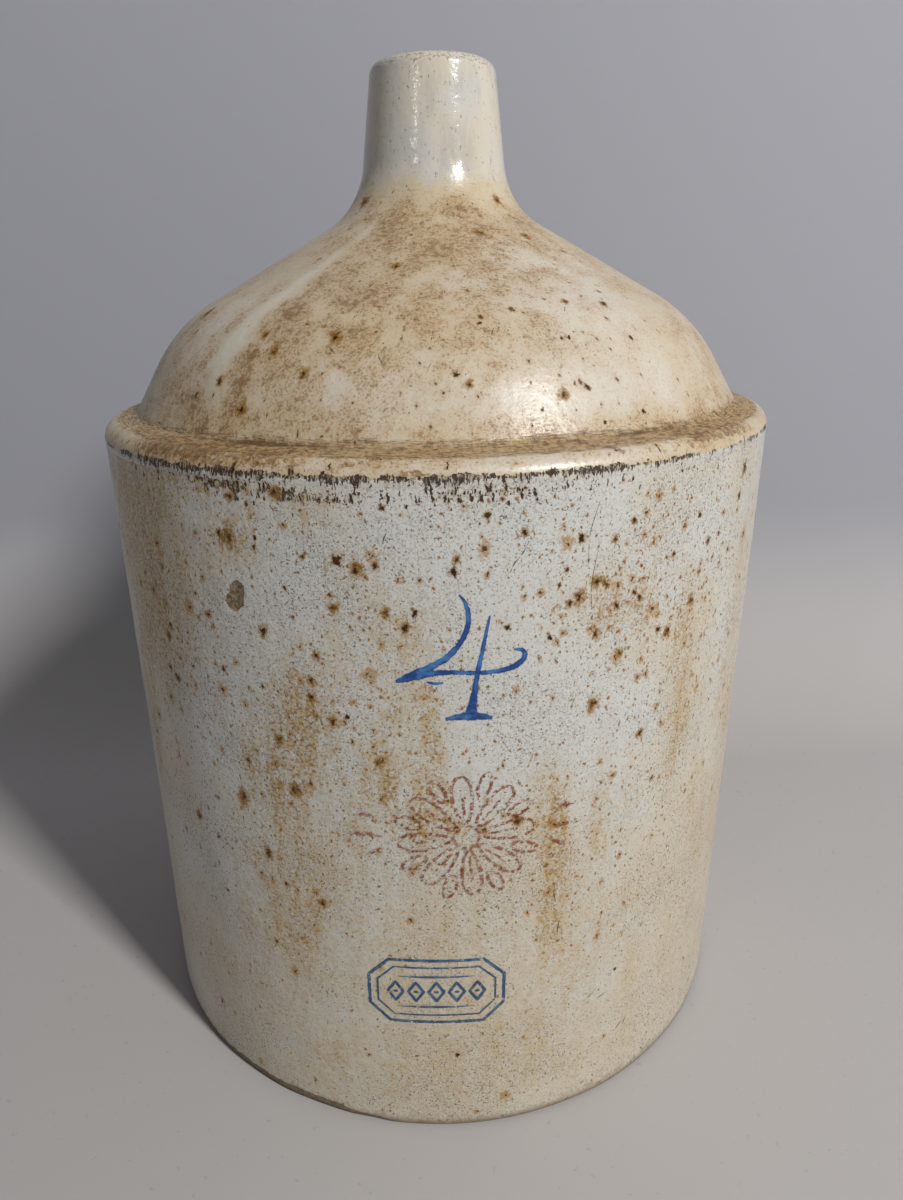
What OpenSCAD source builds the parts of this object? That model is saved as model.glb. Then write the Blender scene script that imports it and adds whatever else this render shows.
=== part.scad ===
// Stoneware crock jug: a straight crock, a ledge and ball-shaped dome, a neck and a strap handle.
// Millimetres, +Z up. The origin is the centre of the face that it stands on, and the handle is at +Y.

/* [Crock body] */
// Outer radius of the crock at its rim, where the upper half is joined on
rim_r = 142; // [128:1:165]
// How much smaller the crock's outer radius is at its foot
foot_inset = 3; // [0:0.5:10]
// Height of the crock up to its rim
body_h = 269; // [180:1:340]
// Thickness of the crock's wall
body_wall = 12.5; // [8:0.5:18]
// Thickness of the base
base_t = 14; // [8:0.5:24]
// Radius of the worn edge round the foot
foot_round = 2; // [1:0.5:5]
// Radius of the hollow corner inside, between wall and base
cove_r = 16; // [6:1:30]

/* [Ledge] */
// How far the ledge's edge stands out past the crock's rim
ledge_lip = 1.6; // [0.5:0.1:4]
// Height of the ledge's edge above the crock's rim
ledge_h = 7; // [4:0.5:12]
// Radius of the ledge's worn edge
arris_round = 7; // [2:0.5:8]
// Width of the ledge, from its edge to the foot of the dome
ledge_w = 14.6; // [10:0.2:24]
// Rise of the ledge from its edge to the foot of the dome
ledge_rise = 3; // [1:0.5:8]
// Radius of the hollow where the dome springs from the ledge
crease_round = 3; // [1:0.5:6]

/* [Dome] */
// How far the dome's steep side leans in
dome_lean = 19; // [8:1:30]
// Height of the dome's steep side
dome_side_h = 33.6; // [24:0.2:60]
// Radius that turns the steep side into the dome's slope
dome_round = 68; // [30:1:100]
// Height of the dome's slope up to the throat
dome_slope_h = 44; // [30:1:70]
// Thickness of the dome's wall
dome_wall = 11; // [7:0.5:16]

/* [Neck] */
// Radius of the neck at the throat, where the dome's slope would meet it
throat_r = 31; // [27:0.5:38]
// Radius of the sweep from the dome into the neck
throat_round = 31; // [12:1:45]
// Radius of the neck at its mouth
mouth_r = 25; // [23:0.5:30]
// Height of the neck from the throat to the mouth
neck_h = 53.4; // [44:0.2:80]
// Radius of the bore
bore_r = 15; // [9:0.5:16]
// Radius of the lip's outer edge
lip_round = 5; // [2:0.5:6]
// Radius of the bore's edge at the mouth
bore_round = 2; // [0.5:0.5:3]
// Height of the seam between dome and neck above the throat
neck_seam_h = 3.6; // [1:0.2:10]
// How much wider than the bore the dome's opening is
throat_step = 4; // [2:0.5:6]

/* [Handle] */
// Width of the strap at its upper end
strap_w = 38; // [26:1:40]
// Width of the strap at its lower end
strap_low_w = 33; // [24:1:44]
// Thickness of the strap
strap_t = 13; // [9:0.5:18]
// Depth of the thumb groove along the strap's outer side
groove = 1.6; // [0:0.2:3]
// Height of the strap's upper end below the mouth
handle_drop = 23; // [20:1:28]
// How far the handle runs out from the neck before it bends down
handle_out = 50; // [40:1:70]
// How far the handle rises above its upper end
handle_rise = 13; // [4:1:20]
// How far in from the dome's shoulder the handle lands on the slope
handle_land = 22; // [10:1:30]
// How far the handle bulges out past the place where it lands
handle_bulge = 12; // [2:1:24]
// Height above its landing at which the handle bends down
handle_bend_h = 45; // [34:1:60]
// Extra width of the roots where they are pressed on
root_spread = 9; // [2:1:12]
// Extra thickness of the roots where they are pressed on
root_swell = 9; // [2:1:12]
// Length of each root along the handle, outside the wall
root_len = 15; // [8:1:20]

/* [Slip fillets] */
// Leg of the slip fillet in the corner under the ledge
ledge_fillet = 8; // [4:0.5:10]

/* [Hidden] */
$fn = 120;

// Degrees turned by one step of a rounded corner
corner_step = 6;
// Sides of the handle's section, and rings along the strap and along a root
strap_sides = 24;
strap_rings = 30;
root_rings = 7;
// How square the strap's section is: 2 is an oval, and more is boxier
strap_squareness = 2.7;
// Past a surface, so that a cut goes right through it
overrun = 1;
// Share of a leg that a rounded corner may take where the next corner is rounded too
shared_leg_share = 0.5;

// Outer radius at the foot
foot_r = rim_r - foot_inset;
// Heights of the joints and corners
arris_z = body_h + ledge_h;
crease_z = arris_z + ledge_rise;
shoulder_z = crease_z + dome_side_h;
throat_z = shoulder_z + dome_slope_h;
mouth_z = throat_z + neck_h;
neck_seam_z = throat_z + neck_seam_h;

// Corners of the turned outline, each as radius and height
arris = [rim_r + ledge_lip, arris_z];
crease = [arris.x - ledge_w, crease_z];
shoulder = [crease.x - dome_lean, shoulder_z];
throat = [throat_r, throat_z];
mouth = [mouth_r, mouth_z];
inner_foot = [foot_r - body_wall, base_t];
inner_rim = [rim_r - body_wall, body_h];
past_all = [arris.x + overrun, mouth_z + overrun];

function unit(v) = v / norm(v);
function left_of(v) = [-v.y, v.x];
function between(a, b, share) = a + (b - a) * share;
// Radius at height z on the straight line from p to q
function radius_at(p, q, z) = between(p.x, q.x, (z - p.y) / (q.y - p.y));
// Height at radius r on the straight line from p to q
function height_at(p, q, r) = between(p.y, q.y, (r - p.x) / (q.x - p.x));
// The point p once the leg from a to b has moved to its left by t
function moved_end(a, b, p, t) = p + t * left_of(unit(b - a));
// The corner b once the legs a to b and b to c have both moved to their left by t
function moved_corner(a, b, c, t) =
    let (n1 = left_of(unit(b - a)), n2 = left_of(unit(c - b)))
    b + t * (n1 + n2) / (1 + n1 * n2);

// The corners of a line rounded with their radii, each as far as its legs allow
function leg(points, radii, i, j) =
    norm(points[i] - points[j]) * (radii[j] > 0 ? shared_leg_share : 1);
function corner_arc(points, radii, i) =
    let (
        u = unit(points[i - 1] - points[i]),
        v = unit(points[i + 1] - points[i]),
        half = acos(u * v) / 2,
        free_leg = min(leg(points, radii, i, i - 1), leg(points, radii, i, i + 1)),
        r = min(radii[i], free_leg * tan(half)),
        centre = points[i] + unit(u + v) * r / sin(half),
        from = points[i] + u * r / tan(half) - centre,
        to = points[i] + v * r / tan(half) - centre,
        start = atan2(from.y, from.x),
        turn = (atan2(to.y, to.x) - start + 540) % 360 - 180,
        steps = max(1, ceil(abs(turn) / corner_step))
    )
    [for (k = [0:steps]) centre + r * [cos(start + turn * k / steps), sin(start + turn * k / steps)]];
function soft_line(points, radii) =
    [for (i = [0:len(points) - 1]) each radii[i] > 0 ? corner_arc(points, radii, i) : [points[i]]];

// The outside of the ledge, dome and neck as one filled half outline
module top_outline() {
    polygon(soft_line(
        [[0, body_h], [rim_r, body_h], arris, crease, shoulder, throat, mouth, [0, mouth_z]],
        [0, 0, arris_round, crease_round, dome_round, throat_round, lip_round, 0]));
}

// The hollow under the ledge and dome, with walls parallel to the outside
module top_hollow() {
    inner_crease = moved_end(crease, shoulder, crease, dome_wall);
    inner_shoulder = moved_corner(crease, shoulder, throat, dome_wall);
    inner_throat = moved_end(shoulder, throat, throat, dome_wall);
    hollow_z = body_h - overrun;
    polygon(soft_line(
        [[0, hollow_z], [inner_crease.x, hollow_z], inner_crease, inner_shoulder, inner_throat,
         [0, inner_throat.y]],
        [0, 0, 0, dome_round - dome_wall, 0, 0]));
}

// A slip fillet: what lies between a corner and an arc that touches both of its legs
module fillet_section(a, corner, b) {
    radii = [0, norm(a - corner) + norm(b - corner), 0];
    polygon(concat([corner], corner_arc([a, corner, b], radii, 1)));
}

// The handle's middle line, as reach (along Y) and height
upper_z = mouth_z - handle_drop;
upper_end = [radius_at(throat, mouth, upper_z), upper_z];
landing_r = shoulder.x - handle_land;
landing = [landing_r, height_at(shoulder, throat, landing_r)];
handle_line = [upper_end, upper_end + [handle_out, handle_rise],
               landing + [handle_bulge, handle_bend_h], landing];
function on_curve(p, t) =
    pow(1 - t, 3) * p[0] + 3 * t * pow(1 - t, 2) * p[1] + 3 * t * t * (1 - t) * p[2] + pow(t, 3) * p[3];
function along_curve(p, t) =
    unit(pow(1 - t, 2) * (p[1] - p[0]) + 2 * t * (1 - t) * (p[2] - p[1]) + t * t * (p[3] - p[2]));
function sum_of(list) = len(list) == 0 ? 0 : list * [for (item = list) 1];
handle_len = sum_of([for (k = [1:strap_rings])
    norm(on_curve(handle_line, k / strap_rings) - on_curve(handle_line, (k - 1) / strap_rings))]);
root_share = root_len / handle_len;

// The strap's section at share t of the handle, wider and thicker towards its roots
function squared(v) = sign(v) * pow(abs(v), 2 / strap_squareness);
function root_share_at(t) = pow(max(0, 1 - min(t, 1 - t) / root_share), 2);
function section(t, middle) =
    let (
        w = between(strap_w, strap_low_w, t) + root_spread * root_share_at(t),
        h = strap_t + root_swell * root_share_at(t),
        out = left_of(along_curve(handle_line, t))
    )
    [for (k = [0:strap_sides - 1])
        let (
            a = 360 * k / strap_sides,
            across_share = squared(cos(a)),
            dip = sin(a) > 0 ? groove * pow(1 - across_share * across_share, 2) : 0,
            place = middle + out * (h / 2 * squared(sin(a)) - dip)
        )
        [w / 2 * across_share, place.x, place.y]];
function handle_section(t) = section(t, on_curve(handle_line, t));
// The section at an end, moved straight back into the wall
function buried_section(t, depth) =
    section(t, on_curve(handle_line, t) + depth * along_curve(handle_line, t));

// One closed skin through a row of sections
module loft(rings) {
    n = len(rings[0]);
    last = (len(rings) - 1) * n;
    polyhedron(
        points = [for (ring = rings) each ring],
        faces = concat(
            [[for (k = [0:n - 1]) k]],
            [for (i = [0:len(rings) - 2], k = [0:n - 1])
                [i * n + k, (i + 1) * n + k, (i + 1) * n + (k + 1) % n]],
            [for (i = [0:len(rings) - 2], k = [0:n - 1])
                [i * n + k, (i + 1) * n + (k + 1) % n, i * n + (k + 1) % n]],
            [[for (k = [n - 1:-1:0]) last + k]]),
        convexity = 4);
}

module crock_body() {
    color([0.80, 0.79, 0.74]) rotate_extrude() difference() {
        polygon(soft_line([[0, 0], [foot_r, 0], [rim_r, body_h], [0, body_h]], [0, foot_round, 0, 0]));
        polygon(soft_line([[0, base_t], inner_foot, inner_rim, [0, body_h]], [0, cove_r, 0, 0]));
    }
}

module shoulder_top() {
    color([0.79, 0.73, 0.62]) rotate_extrude() difference() {
        top_outline();
        top_hollow();
        translate([0, neck_seam_z]) square(past_all);
        square([bore_r + throat_step, past_all.y]);
    }
}

module neck() {
    bore_start = [bore_r, neck_seam_z - overrun];
    color([0.84, 0.83, 0.79]) rotate_extrude() difference() {
        top_outline();
        square([past_all.x, neck_seam_z]);
        polygon(soft_line(
            [[0, bore_start.y], bore_start, [bore_r, mouth_z], mouth, [0, past_all.y]],
            [0, 0, bore_round, 0, 0]));
    }
}

module strap_handle() {
    color([0.80, 0.76, 0.68])
        loft([for (k = [0:strap_rings]) handle_section(between(root_share, 1 - root_share, k / strap_rings))]);
}

module handle_upper_root() {
    color([0.80, 0.76, 0.68]) difference() {
        loft(concat([buried_section(0, -upper_end.x)],
            [for (k = [0:root_rings]) handle_section(root_share * k / root_rings)]));
        rotate_extrude() top_outline();
    }
}

module handle_lower_root() {
    color([0.80, 0.76, 0.68]) difference() {
        loft(concat([for (k = [0:root_rings]) handle_section(1 - root_share * (1 - k / root_rings))],
            [buried_section(1, dome_wall + root_swell)]));
        rotate_extrude() top_outline();
    }
}

module shoulder_luting_ring() {
    low = body_h - ledge_fillet;
    color([0.72, 0.66, 0.55]) rotate_extrude()
        fillet_section([radius_at(inner_foot, inner_rim, low), low], inner_rim, inner_rim - [ledge_fillet, 0]);
}

module neck_luting_ring() {
    corner = [bore_r + throat_step, neck_seam_z];
    color([0.72, 0.66, 0.55]) rotate_extrude()
        fillet_section(corner - [0, throat_step], corner, corner - [throat_step, 0]);
}

crock_body();
shoulder_top();
neck();
strap_handle();
handle_upper_root();
handle_lower_root();
shoulder_luting_ring();
neck_luting_ring();
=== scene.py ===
import math
import bmesh
import bpy
import numpy as np
from mathutils import Matrix, Vector, noise
from mathutils.bvhtree import BVHTree


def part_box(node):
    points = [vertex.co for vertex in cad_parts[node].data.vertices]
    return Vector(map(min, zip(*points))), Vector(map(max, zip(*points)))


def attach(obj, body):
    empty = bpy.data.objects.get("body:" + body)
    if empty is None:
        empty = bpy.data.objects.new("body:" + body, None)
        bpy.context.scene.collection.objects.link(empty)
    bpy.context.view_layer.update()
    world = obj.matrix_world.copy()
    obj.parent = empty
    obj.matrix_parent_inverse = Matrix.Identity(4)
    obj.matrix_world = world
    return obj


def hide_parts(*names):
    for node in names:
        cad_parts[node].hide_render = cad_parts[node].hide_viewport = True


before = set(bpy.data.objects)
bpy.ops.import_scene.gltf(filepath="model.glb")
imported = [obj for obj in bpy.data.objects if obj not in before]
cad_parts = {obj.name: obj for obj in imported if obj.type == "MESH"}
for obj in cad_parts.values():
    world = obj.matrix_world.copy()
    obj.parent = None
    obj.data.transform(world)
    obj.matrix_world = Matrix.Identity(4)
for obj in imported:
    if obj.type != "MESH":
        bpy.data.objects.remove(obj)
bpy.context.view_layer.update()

scene = bpy.context.scene
scene.view_settings.view_transform = "Standard"
print("stage: frame loaded")


def tone(red, green, blue):
    # A colour picked on a 0 to 255 scale, as Blender's linear values
    shares = [c / 255 for c in (red, green, blue)]
    return tuple(c / 12.92 if c <= 0.04045 else ((c + 0.055) / 1.055) ** 2.4 for c in shares) + (1.0,)


# Camera, where the jug was seen from
jugCamera = {
    "place": (0.0, -0.4035, 0.3287),
    "lookDown": 20.16,  # degrees below level
    "lookRight": 0.85,  # degrees towards +X
    "roll": -0.43,  # degrees
    "focalLength": 34.86,  # mm, for a sensor 36 mm wide
    "sensorWidth": 36.0,
    "nearest": 0.01,
}


def buildCamera(view):
    down, aside, roll = (math.radians(view[k]) for k in ("lookDown", "lookRight", "roll"))
    ahead = Vector((math.sin(aside) * math.cos(down), math.cos(aside) * math.cos(down), -math.sin(down)))
    level = Vector((math.cos(aside), -math.sin(aside), 0.0))
    upright = level.cross(ahead)
    right = math.cos(roll) * level + math.sin(roll) * upright
    up = -math.sin(roll) * level + math.cos(roll) * upright
    data = bpy.data.cameras.new("jugCamera")
    data.sensor_fit = "HORIZONTAL"
    data.sensor_width = view["sensorWidth"]
    data.lens = view["focalLength"]
    data.clip_start = view["nearest"]
    camera = bpy.data.objects.new("jugCamera", data)
    facing = Matrix((right, up, -ahead)).transposed().to_4x4()
    camera.matrix_world = Matrix.Translation(view["place"]) @ facing
    scene.collection.objects.link(camera)
    scene.camera = camera


buildCamera(jugCamera)

# Nodes are made in the tree on the bench, and what they give is worked on like numbers
bench = {"tree": None}


class Field:
    def __init__(self, socket):
        self.socket = socket

    def __add__(self, other):
        return calc("ADD", self, other)

    def __radd__(self, other):
        return calc("ADD", other, self)

    def __sub__(self, other):
        return calc("SUBTRACT", self, other)

    def __rsub__(self, other):
        return calc("SUBTRACT", other, self)

    def __mul__(self, other):
        return calc("MULTIPLY", self, other)

    def __truediv__(self, other):
        return calc("DIVIDE", self, other)

    def __rtruediv__(self, other):
        return calc("DIVIDE", other, self)


def feed(socket, value):
    if isinstance(value, Field):
        bench["tree"].links.new(value.socket, socket)
    else:
        socket.default_value = value


def newNode(kind, inputs={}, **settings):
    node = bench["tree"].nodes.new(kind)
    for name, value in settings.items():
        setattr(node, name, value)
    for key, value in inputs.items():
        feed(node.inputs[key], value)
    return node


def result(kind, inputs={}, output=0, **settings):
    # What a new node gives
    return Field(newNode(kind, inputs, **settings).outputs[output])


def calc(operation, *values):
    return result("ShaderNodeMath", dict(enumerate(values)), operation=operation)


def vectorCalc(operation, *values):
    return result("ShaderNodeVectorMath", dict(enumerate(values)), operation=operation)


def scaled(vector, factor):
    return result("ShaderNodeVectorMath", {0: vector, "Scale": factor}, operation="SCALE")


def larger(first, *others):
    for other in others:
        first = calc("MAXIMUM", first, other)
    return first


def split(vector):
    return [Field(socket) for socket in newNode("ShaderNodeSeparateXYZ", {0: vector}).outputs]


def join(*parts):
    return result("ShaderNodeCombineXYZ", dict(enumerate(parts)))


def smoothRange(value, low, high, lowResult=0.0, highResult=1.0):
    values = enumerate((value, low, high, lowResult, highResult))
    return result("ShaderNodeMapRange", dict(values), interpolation_type="SMOOTHSTEP")


def mixColor(share, under, over):
    return result("ShaderNodeMix", {0: share, 6: under, 7: over}, 2, data_type="RGBA")


def noiseField(place, scale, detail=3.0, roughness=0.55, output="Fac"):
    inputs = {"Vector": place, "Scale": scale, "Detail": detail, "Roughness": roughness}
    return result("ShaderNodeTexNoise", inputs, output)


def stretched(place, scale=(1.0, 1.0, 1.0), moved=(0.0, 0.0, 0.0)):
    return result("ShaderNodeMapping", {"Vector": place, "Location": moved, "Scale": scale})


def painted(name):
    # A field that was painted on the mesh's points
    return result("ShaderNodeAttribute", {}, "Fac", attribute_name=name)


def newGroup(name, treeKind, inputs, outputs):
    # A node group on the bench, its inputs with a starting value or a kind; gives its two ends too
    tree = bpy.data.node_groups.new(name, treeKind)
    bench["tree"] = tree
    for label, value in inputs.items():
        kind = value if isinstance(value, str) else type(value).__name__.title()
        socket = tree.interface.new_socket(name=label, in_out="INPUT", socket_type="NodeSocket" + kind)
        if kind != value:
            socket.default_value = value
    for label, kind in outputs.items():
        tree.interface.new_socket(name=label, in_out="OUTPUT", socket_type="NodeSocket" + kind)
    given = {socket.name: Field(socket) for socket in newNode("NodeGroupInput").outputs}
    return tree, given, newNode("NodeGroupOutput").inputs


def useGroup(group, **inputs):
    made = newNode("ShaderNodeGroup", inputs, node_tree=group)
    return {socket.name: Field(socket) for socket in made.outputs}


# Shared glaze effects


def coverGroup():
    # Grains or patches that cover about Amount of the surface
    inputs = {"Place": "Vector", "Size": 0.002, "Amount": 0.5, "Softness": 0.08, "Detail": 3.0}
    tree, given, out = newGroup("grainCover", "ShaderNodeTree", inputs, {"Mask": "Float"})
    field = noiseField(given["Place"], 1.0 / given["Size"], given["Detail"], 0.6)
    edge = 0.72 - given["Amount"] * 0.44
    feed(out["Mask"], smoothRange(field, edge, edge + given["Softness"]))
    return tree


def dotsGroup():
    # Ragged dots, one at most in each cell of the chart, each with a halo
    inputs = {"Chart": "Vector", "Place": "Vector", "Cell": 0.008, "Amount": 0.5, "Size": 0.15, "Halo": 2.6,
              "Ragged": 0.0024}
    tree, given, out = newGroup("raggedDots", "ShaderNodeTree", inputs, {"Core": "Float", "Halo": "Float"})
    bend = noiseField(given["Place"], 650.0, output="Color")
    shift = scaled(vectorCalc("SUBTRACT", bend, (0.5, 0.5, 0.5)), given["Ragged"])
    spread = {"Vector": vectorCalc("ADD", given["Chart"], shift), "Scale": 1.0 / given["Cell"]}
    cells = newNode("ShaderNodeTexVoronoi", spread, voronoi_dimensions="2D")
    distance = Field(cells.outputs["Distance"])
    chances = newNode("ShaderNodeSeparateColor", {0: Field(cells.outputs["Color"])}).outputs
    there = calc("LESS_THAN", Field(chances[0]), given["Amount"])
    size = given["Size"] * (0.3 + Field(chances[1]) * Field(chances[1]) * 1.25)
    feed(out["Core"], smoothRange(distance, size, size * 0.45) * there)
    feed(out["Halo"], smoothRange(distance, size * given["Halo"], size * 0.6) * there)
    return tree


def ringGroup():
    # A place for patterns that run round the jug, as a turned pot's lines do
    inputs = {"Place": "Vector", "Round": 8.0, "Across": 300.0}
    tree, given, out = newGroup("turningLines", "ShaderNodeTree", inputs, {"Vector": "Vector"})
    x, y, z = split(given["Place"])
    radius = calc("SQRT", x * x + y * y + 0.000001)
    feed(out["Vector"], join(x / radius * given["Round"], y / radius * given["Round"],
                             (z - radius) * given["Across"]))
    return tree


def skinGroup():
    # Height of the glaze's skin: orange peel over throwing lines and slow waves
    inputs = {"Place": "Vector", "Peel": 0.3, "Wave": 0.7, "Lines": 0.2}
    tree, given, out = newGroup("glazeSkin", "ShaderNodeTree", inputs, {"Height": "Float"})
    peel = noiseField(given["Place"], 430.0)
    wave = noiseField(given["Place"], 70.0, 3.0, 0.5)
    lines = noiseField(turned(given["Place"], 4.0, 260.0), 1.0, 2.0)
    feed(out["Height"], peel * given["Peel"] + wave * given["Wave"] + lines * given["Lines"])
    return tree


def turned(place, ring, across):
    return useGroup(turningLines, Place=place, Round=ring, Across=across)["Vector"]


def grainsOn(place, size, amount, softness, detail=3.0):
    inputs = {"Place": place, "Size": size, "Amount": amount, "Softness": softness, "Detail": detail}
    return useGroup(grainCover, **inputs)["Mask"]


def dotsOn(chart, place, cell, amount, size, halo, ragged):
    inputs = {"Chart": chart, "Place": place, "Cell": cell, "Amount": amount, "Size": size, "Halo": halo}
    dots = useGroup(raggedDots, Ragged=ragged, **inputs)
    return dots["Core"], dots["Halo"]


grainCover = coverGroup()
raggedDots = dotsGroup()
turningLines = ringGroup()
glazeSkin = skinGroup()

# How glossy each glaze is, how uneven its skin is and how deep, in metres
looks = {
    "crock": {"gloss": 0.36, "peel": 0.5, "wave": 0.9, "lines": 0.2, "depth": 0.00055},
    "top": {"gloss": 0.33, "peel": 0.24, "wave": 0.7, "lines": 0.1, "depth": 0.0005},
    "strap": {"gloss": 0.25, "peel": 0.22, "wave": 1.0, "lines": 0.0, "depth": 0.0005},
}
coating = {"strap": 0.15, "roughness": 0.14, "ior": 1.5}

# The colours of the fired glaze and of what has stained it, from 0 to 255
tones = {name: tone(*mix) for name, mix in {
    "coolWhite": (206, 208, 205), "warmWhite": (206, 197, 179), "cream": (205, 194, 170),
    "paleCream": (214, 210, 200), "wash": (186, 160, 110), "ochre": (152, 108, 40), "browned": (106, 70, 24),
    "halo": (164, 120, 46), "ironCore": (52, 26, 8), "smallCore": (100, 62, 18), "pepper": (76, 54, 32),
    "grey": (142, 136, 126), "clayDeep": (98, 80, 60), "clayPale": (160, 142, 118),
    "bareClay": (120, 102, 80), "scuff": (122, 108, 86), "grime": (48, 23, 5), "crockClot": (96, 56, 18),
    "dirt": (150, 118, 76), "moss": (112, 112, 84), "film": (144, 112, 68), "topWash": (189, 160, 119),
    "filmPale": (169, 135, 88), "filmDeep": (109, 75, 38), "clump": (116, 80, 34),
    "ledgePale": (186, 156, 112), "ledgeDeep": (96, 68, 38),
    # The crease's dark tone on the next line is painted shade with some dirt
    "crumb": (88, 62, 34), "creaseShadeAndGrime": (88, 58, 30), "clotPale": (150, 112, 60), "clotDeep": (86, 54, 24),
    "neckCool": (204, 202, 197), "neckWarm": (211, 203, 188), "smoke": (170, 164, 152),
    "neckSpeck": (104, 86, 66), "rimGrain": (122, 98, 70), "slipDeep": (150, 124, 92),
    "slipPale": (176, 152, 120), "scratchDeep": (76, 54, 34), "scratchPale": (104, 82, 56),
    "toastDeep": (112, 70, 20), "toastPale": (178, 136, 62), "heartDeep": (44, 22, 7),
    "heartPale": (82, 46, 15),
    "numeralDeep": (22, 64, 132), "numeralThin": (62, 120, 180), "stampDeep": (40, 78, 118),
    "stampThin": (80, 112, 144), "rosetteDeep": (134, 64, 40), "rosetteThin": (168, 104, 74),
    "floor": (183, 180, 179), "backdrop": (166, 168, 177), "floorSpeck": (128, 124, 120),
    "beyond": (168, 169, 174),
}.items()}


def newMaterial(name, roughness, coat=0.0):
    # A material on the bench, its Principled shader and its place in object coordinates
    material = bpy.data.materials.new(name)
    material.use_nodes = True
    bench["tree"] = material.node_tree
    skin = material.node_tree.nodes["Principled BSDF"]
    skin.inputs["Roughness"].default_value = roughness
    skin.inputs["Coat Weight"].default_value = coat
    skin.inputs["Coat Roughness"].default_value = coating["roughness"]
    skin.inputs["IOR"].default_value = coating["ior"]
    return material, skin, result("ShaderNodeTexCoord", {}, "Object")


def raiseSkin(skin, height, depth):
    feed(skin.inputs["Normal"], result("ShaderNodeBump", {"Distance": depth, "Height": height}))


def skinHeight(place, look):
    inputs = {"Peel": look["peel"], "Wave": look["wave"], "Lines": look["lines"]}
    return useGroup(glazeSkin, Place=place, **inputs)["Height"]


def wallChart(place, level, radius=0.142):
    # The wall unrolled as arc and height, and a mask that fades where the chart ends at the back
    x, y, _ = split(place)
    turn = calc("ARCTAN2", x, y * -1.0)
    return join(turn * radius, level), smoothRange(calc("ABSOLUTE", turn), 3.12, 3.09)


def topChart(place):
    # The dome seen from above, flattened
    x, y, _ = split(place)
    return join(x * 1.1, y * 1.5)


def strapChart(place):
    # A slanted chart in which neither the strap's faces nor its sides lie edge on
    x, y, z = split(place)
    return join(x + (y + z) * 0.8, z - y + x * 0.3)


def pepperedWhite(place, warm):
    # The white glaze of the crock, full of fine dark grains
    color = mixColor(warm, tones["coolWhite"], tones["warmWhite"])
    density = smoothRange(noiseField(place, 26.0, 2.0), 0.3, 0.7, 0.34, 0.6)
    fine = grainsOn(place, 0.00075, density, 0.16, 1.0)
    color = mixColor(fine * 0.5, color, tones["grey"])
    dark = grainsOn(stretched(place, moved=(0.7, 0.2, 0.4)), 0.0009, density * 0.5 - 0.02, 0.09, 1.0)
    return mixColor(dark * 0.82, color, tones["pepper"]), dark


def seamGrime(color, place, level, chart):
    # The dark bristly line under the arris and the chipped row below it; gives the line's mask too
    comb = noiseField(stretched(place, (1.0, 1.0, 0.14)), 1150.0, 2.0, 0.6) - 0.5
    drift = noiseField(place, 70.0, 2.0)
    edge = level + comb * 0.0022 + (drift - 0.5) * 0.0018
    away = calc("ABSOLUTE", edge - 0.2717)
    broken = smoothRange(noiseField(place, 130.0, 5.0, 0.75), 0.36, 0.62, -0.0011, 0.00045)
    half = painted("seam") * 0.00115 + broken + comb * 0.0038
    hairs = noiseField(stretched(place, (1.0, 1.0, 0.3), (0.3, 0.0, 0.0)), 1500.0, 2.0, 0.5)
    line = smoothRange(away, half + 0.00025, half - 0.00005) * smoothRange(hairs, 0.38, 0.54, 0.3, 1.0)
    crowd = painted("bristle") * smoothRange(drift, 0.36, 0.6, 0.25, 1.25)
    dashes, halo = dotsOn(stretched(chart, (1.0, 0.38, 1.0)), place, 0.0010, crowd, 0.5, 2.6, 0.0018)
    seam = larger(line, dashes)
    color = mixColor(halo * 0.4, color, tones["halo"])
    return mixColor(seam * 0.95, color, tones["grime"]), seam


def crockIron(color, place, chart, fade, rust):
    # Iron spots in three sizes, thickest where the rust field is high
    cores, halos = [], []
    sizes = (  # cell, share of cells, size, halo, raggedness
        (0.0125, 0.4, 0.05, 6.5, 0.0046),
        (0.0064, 0.55, 0.066, 5.2, 0.003),
        (0.003, 0.75, 0.11, 2.6, 0.0016),
    )
    for cell, share, size, halo, ragged in sizes:
        shifted = stretched(chart, (1.0, 0.85, 1.0), (cell * 31, cell * 17, 0.0))
        core, ring = dotsOn(shifted, place, cell, rust * share, size, halo, ragged)
        cores.append(core * fade)
        halos.append(ring * fade)
    burnt = noiseField(place, 700.0, 4.0, 0.65) - 0.5
    golden = smoothRange(larger(*halos) + burnt * 2.0, 0.36, 1.05)
    core = larger(cores[0], cores[1])
    color = mixColor(golden * 0.74, color, tones["halo"])
    color = mixColor(cores[2] * 0.78, color, tones["smallCore"])
    return mixColor(core * 0.9, color, tones["ironCore"]), core


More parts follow.
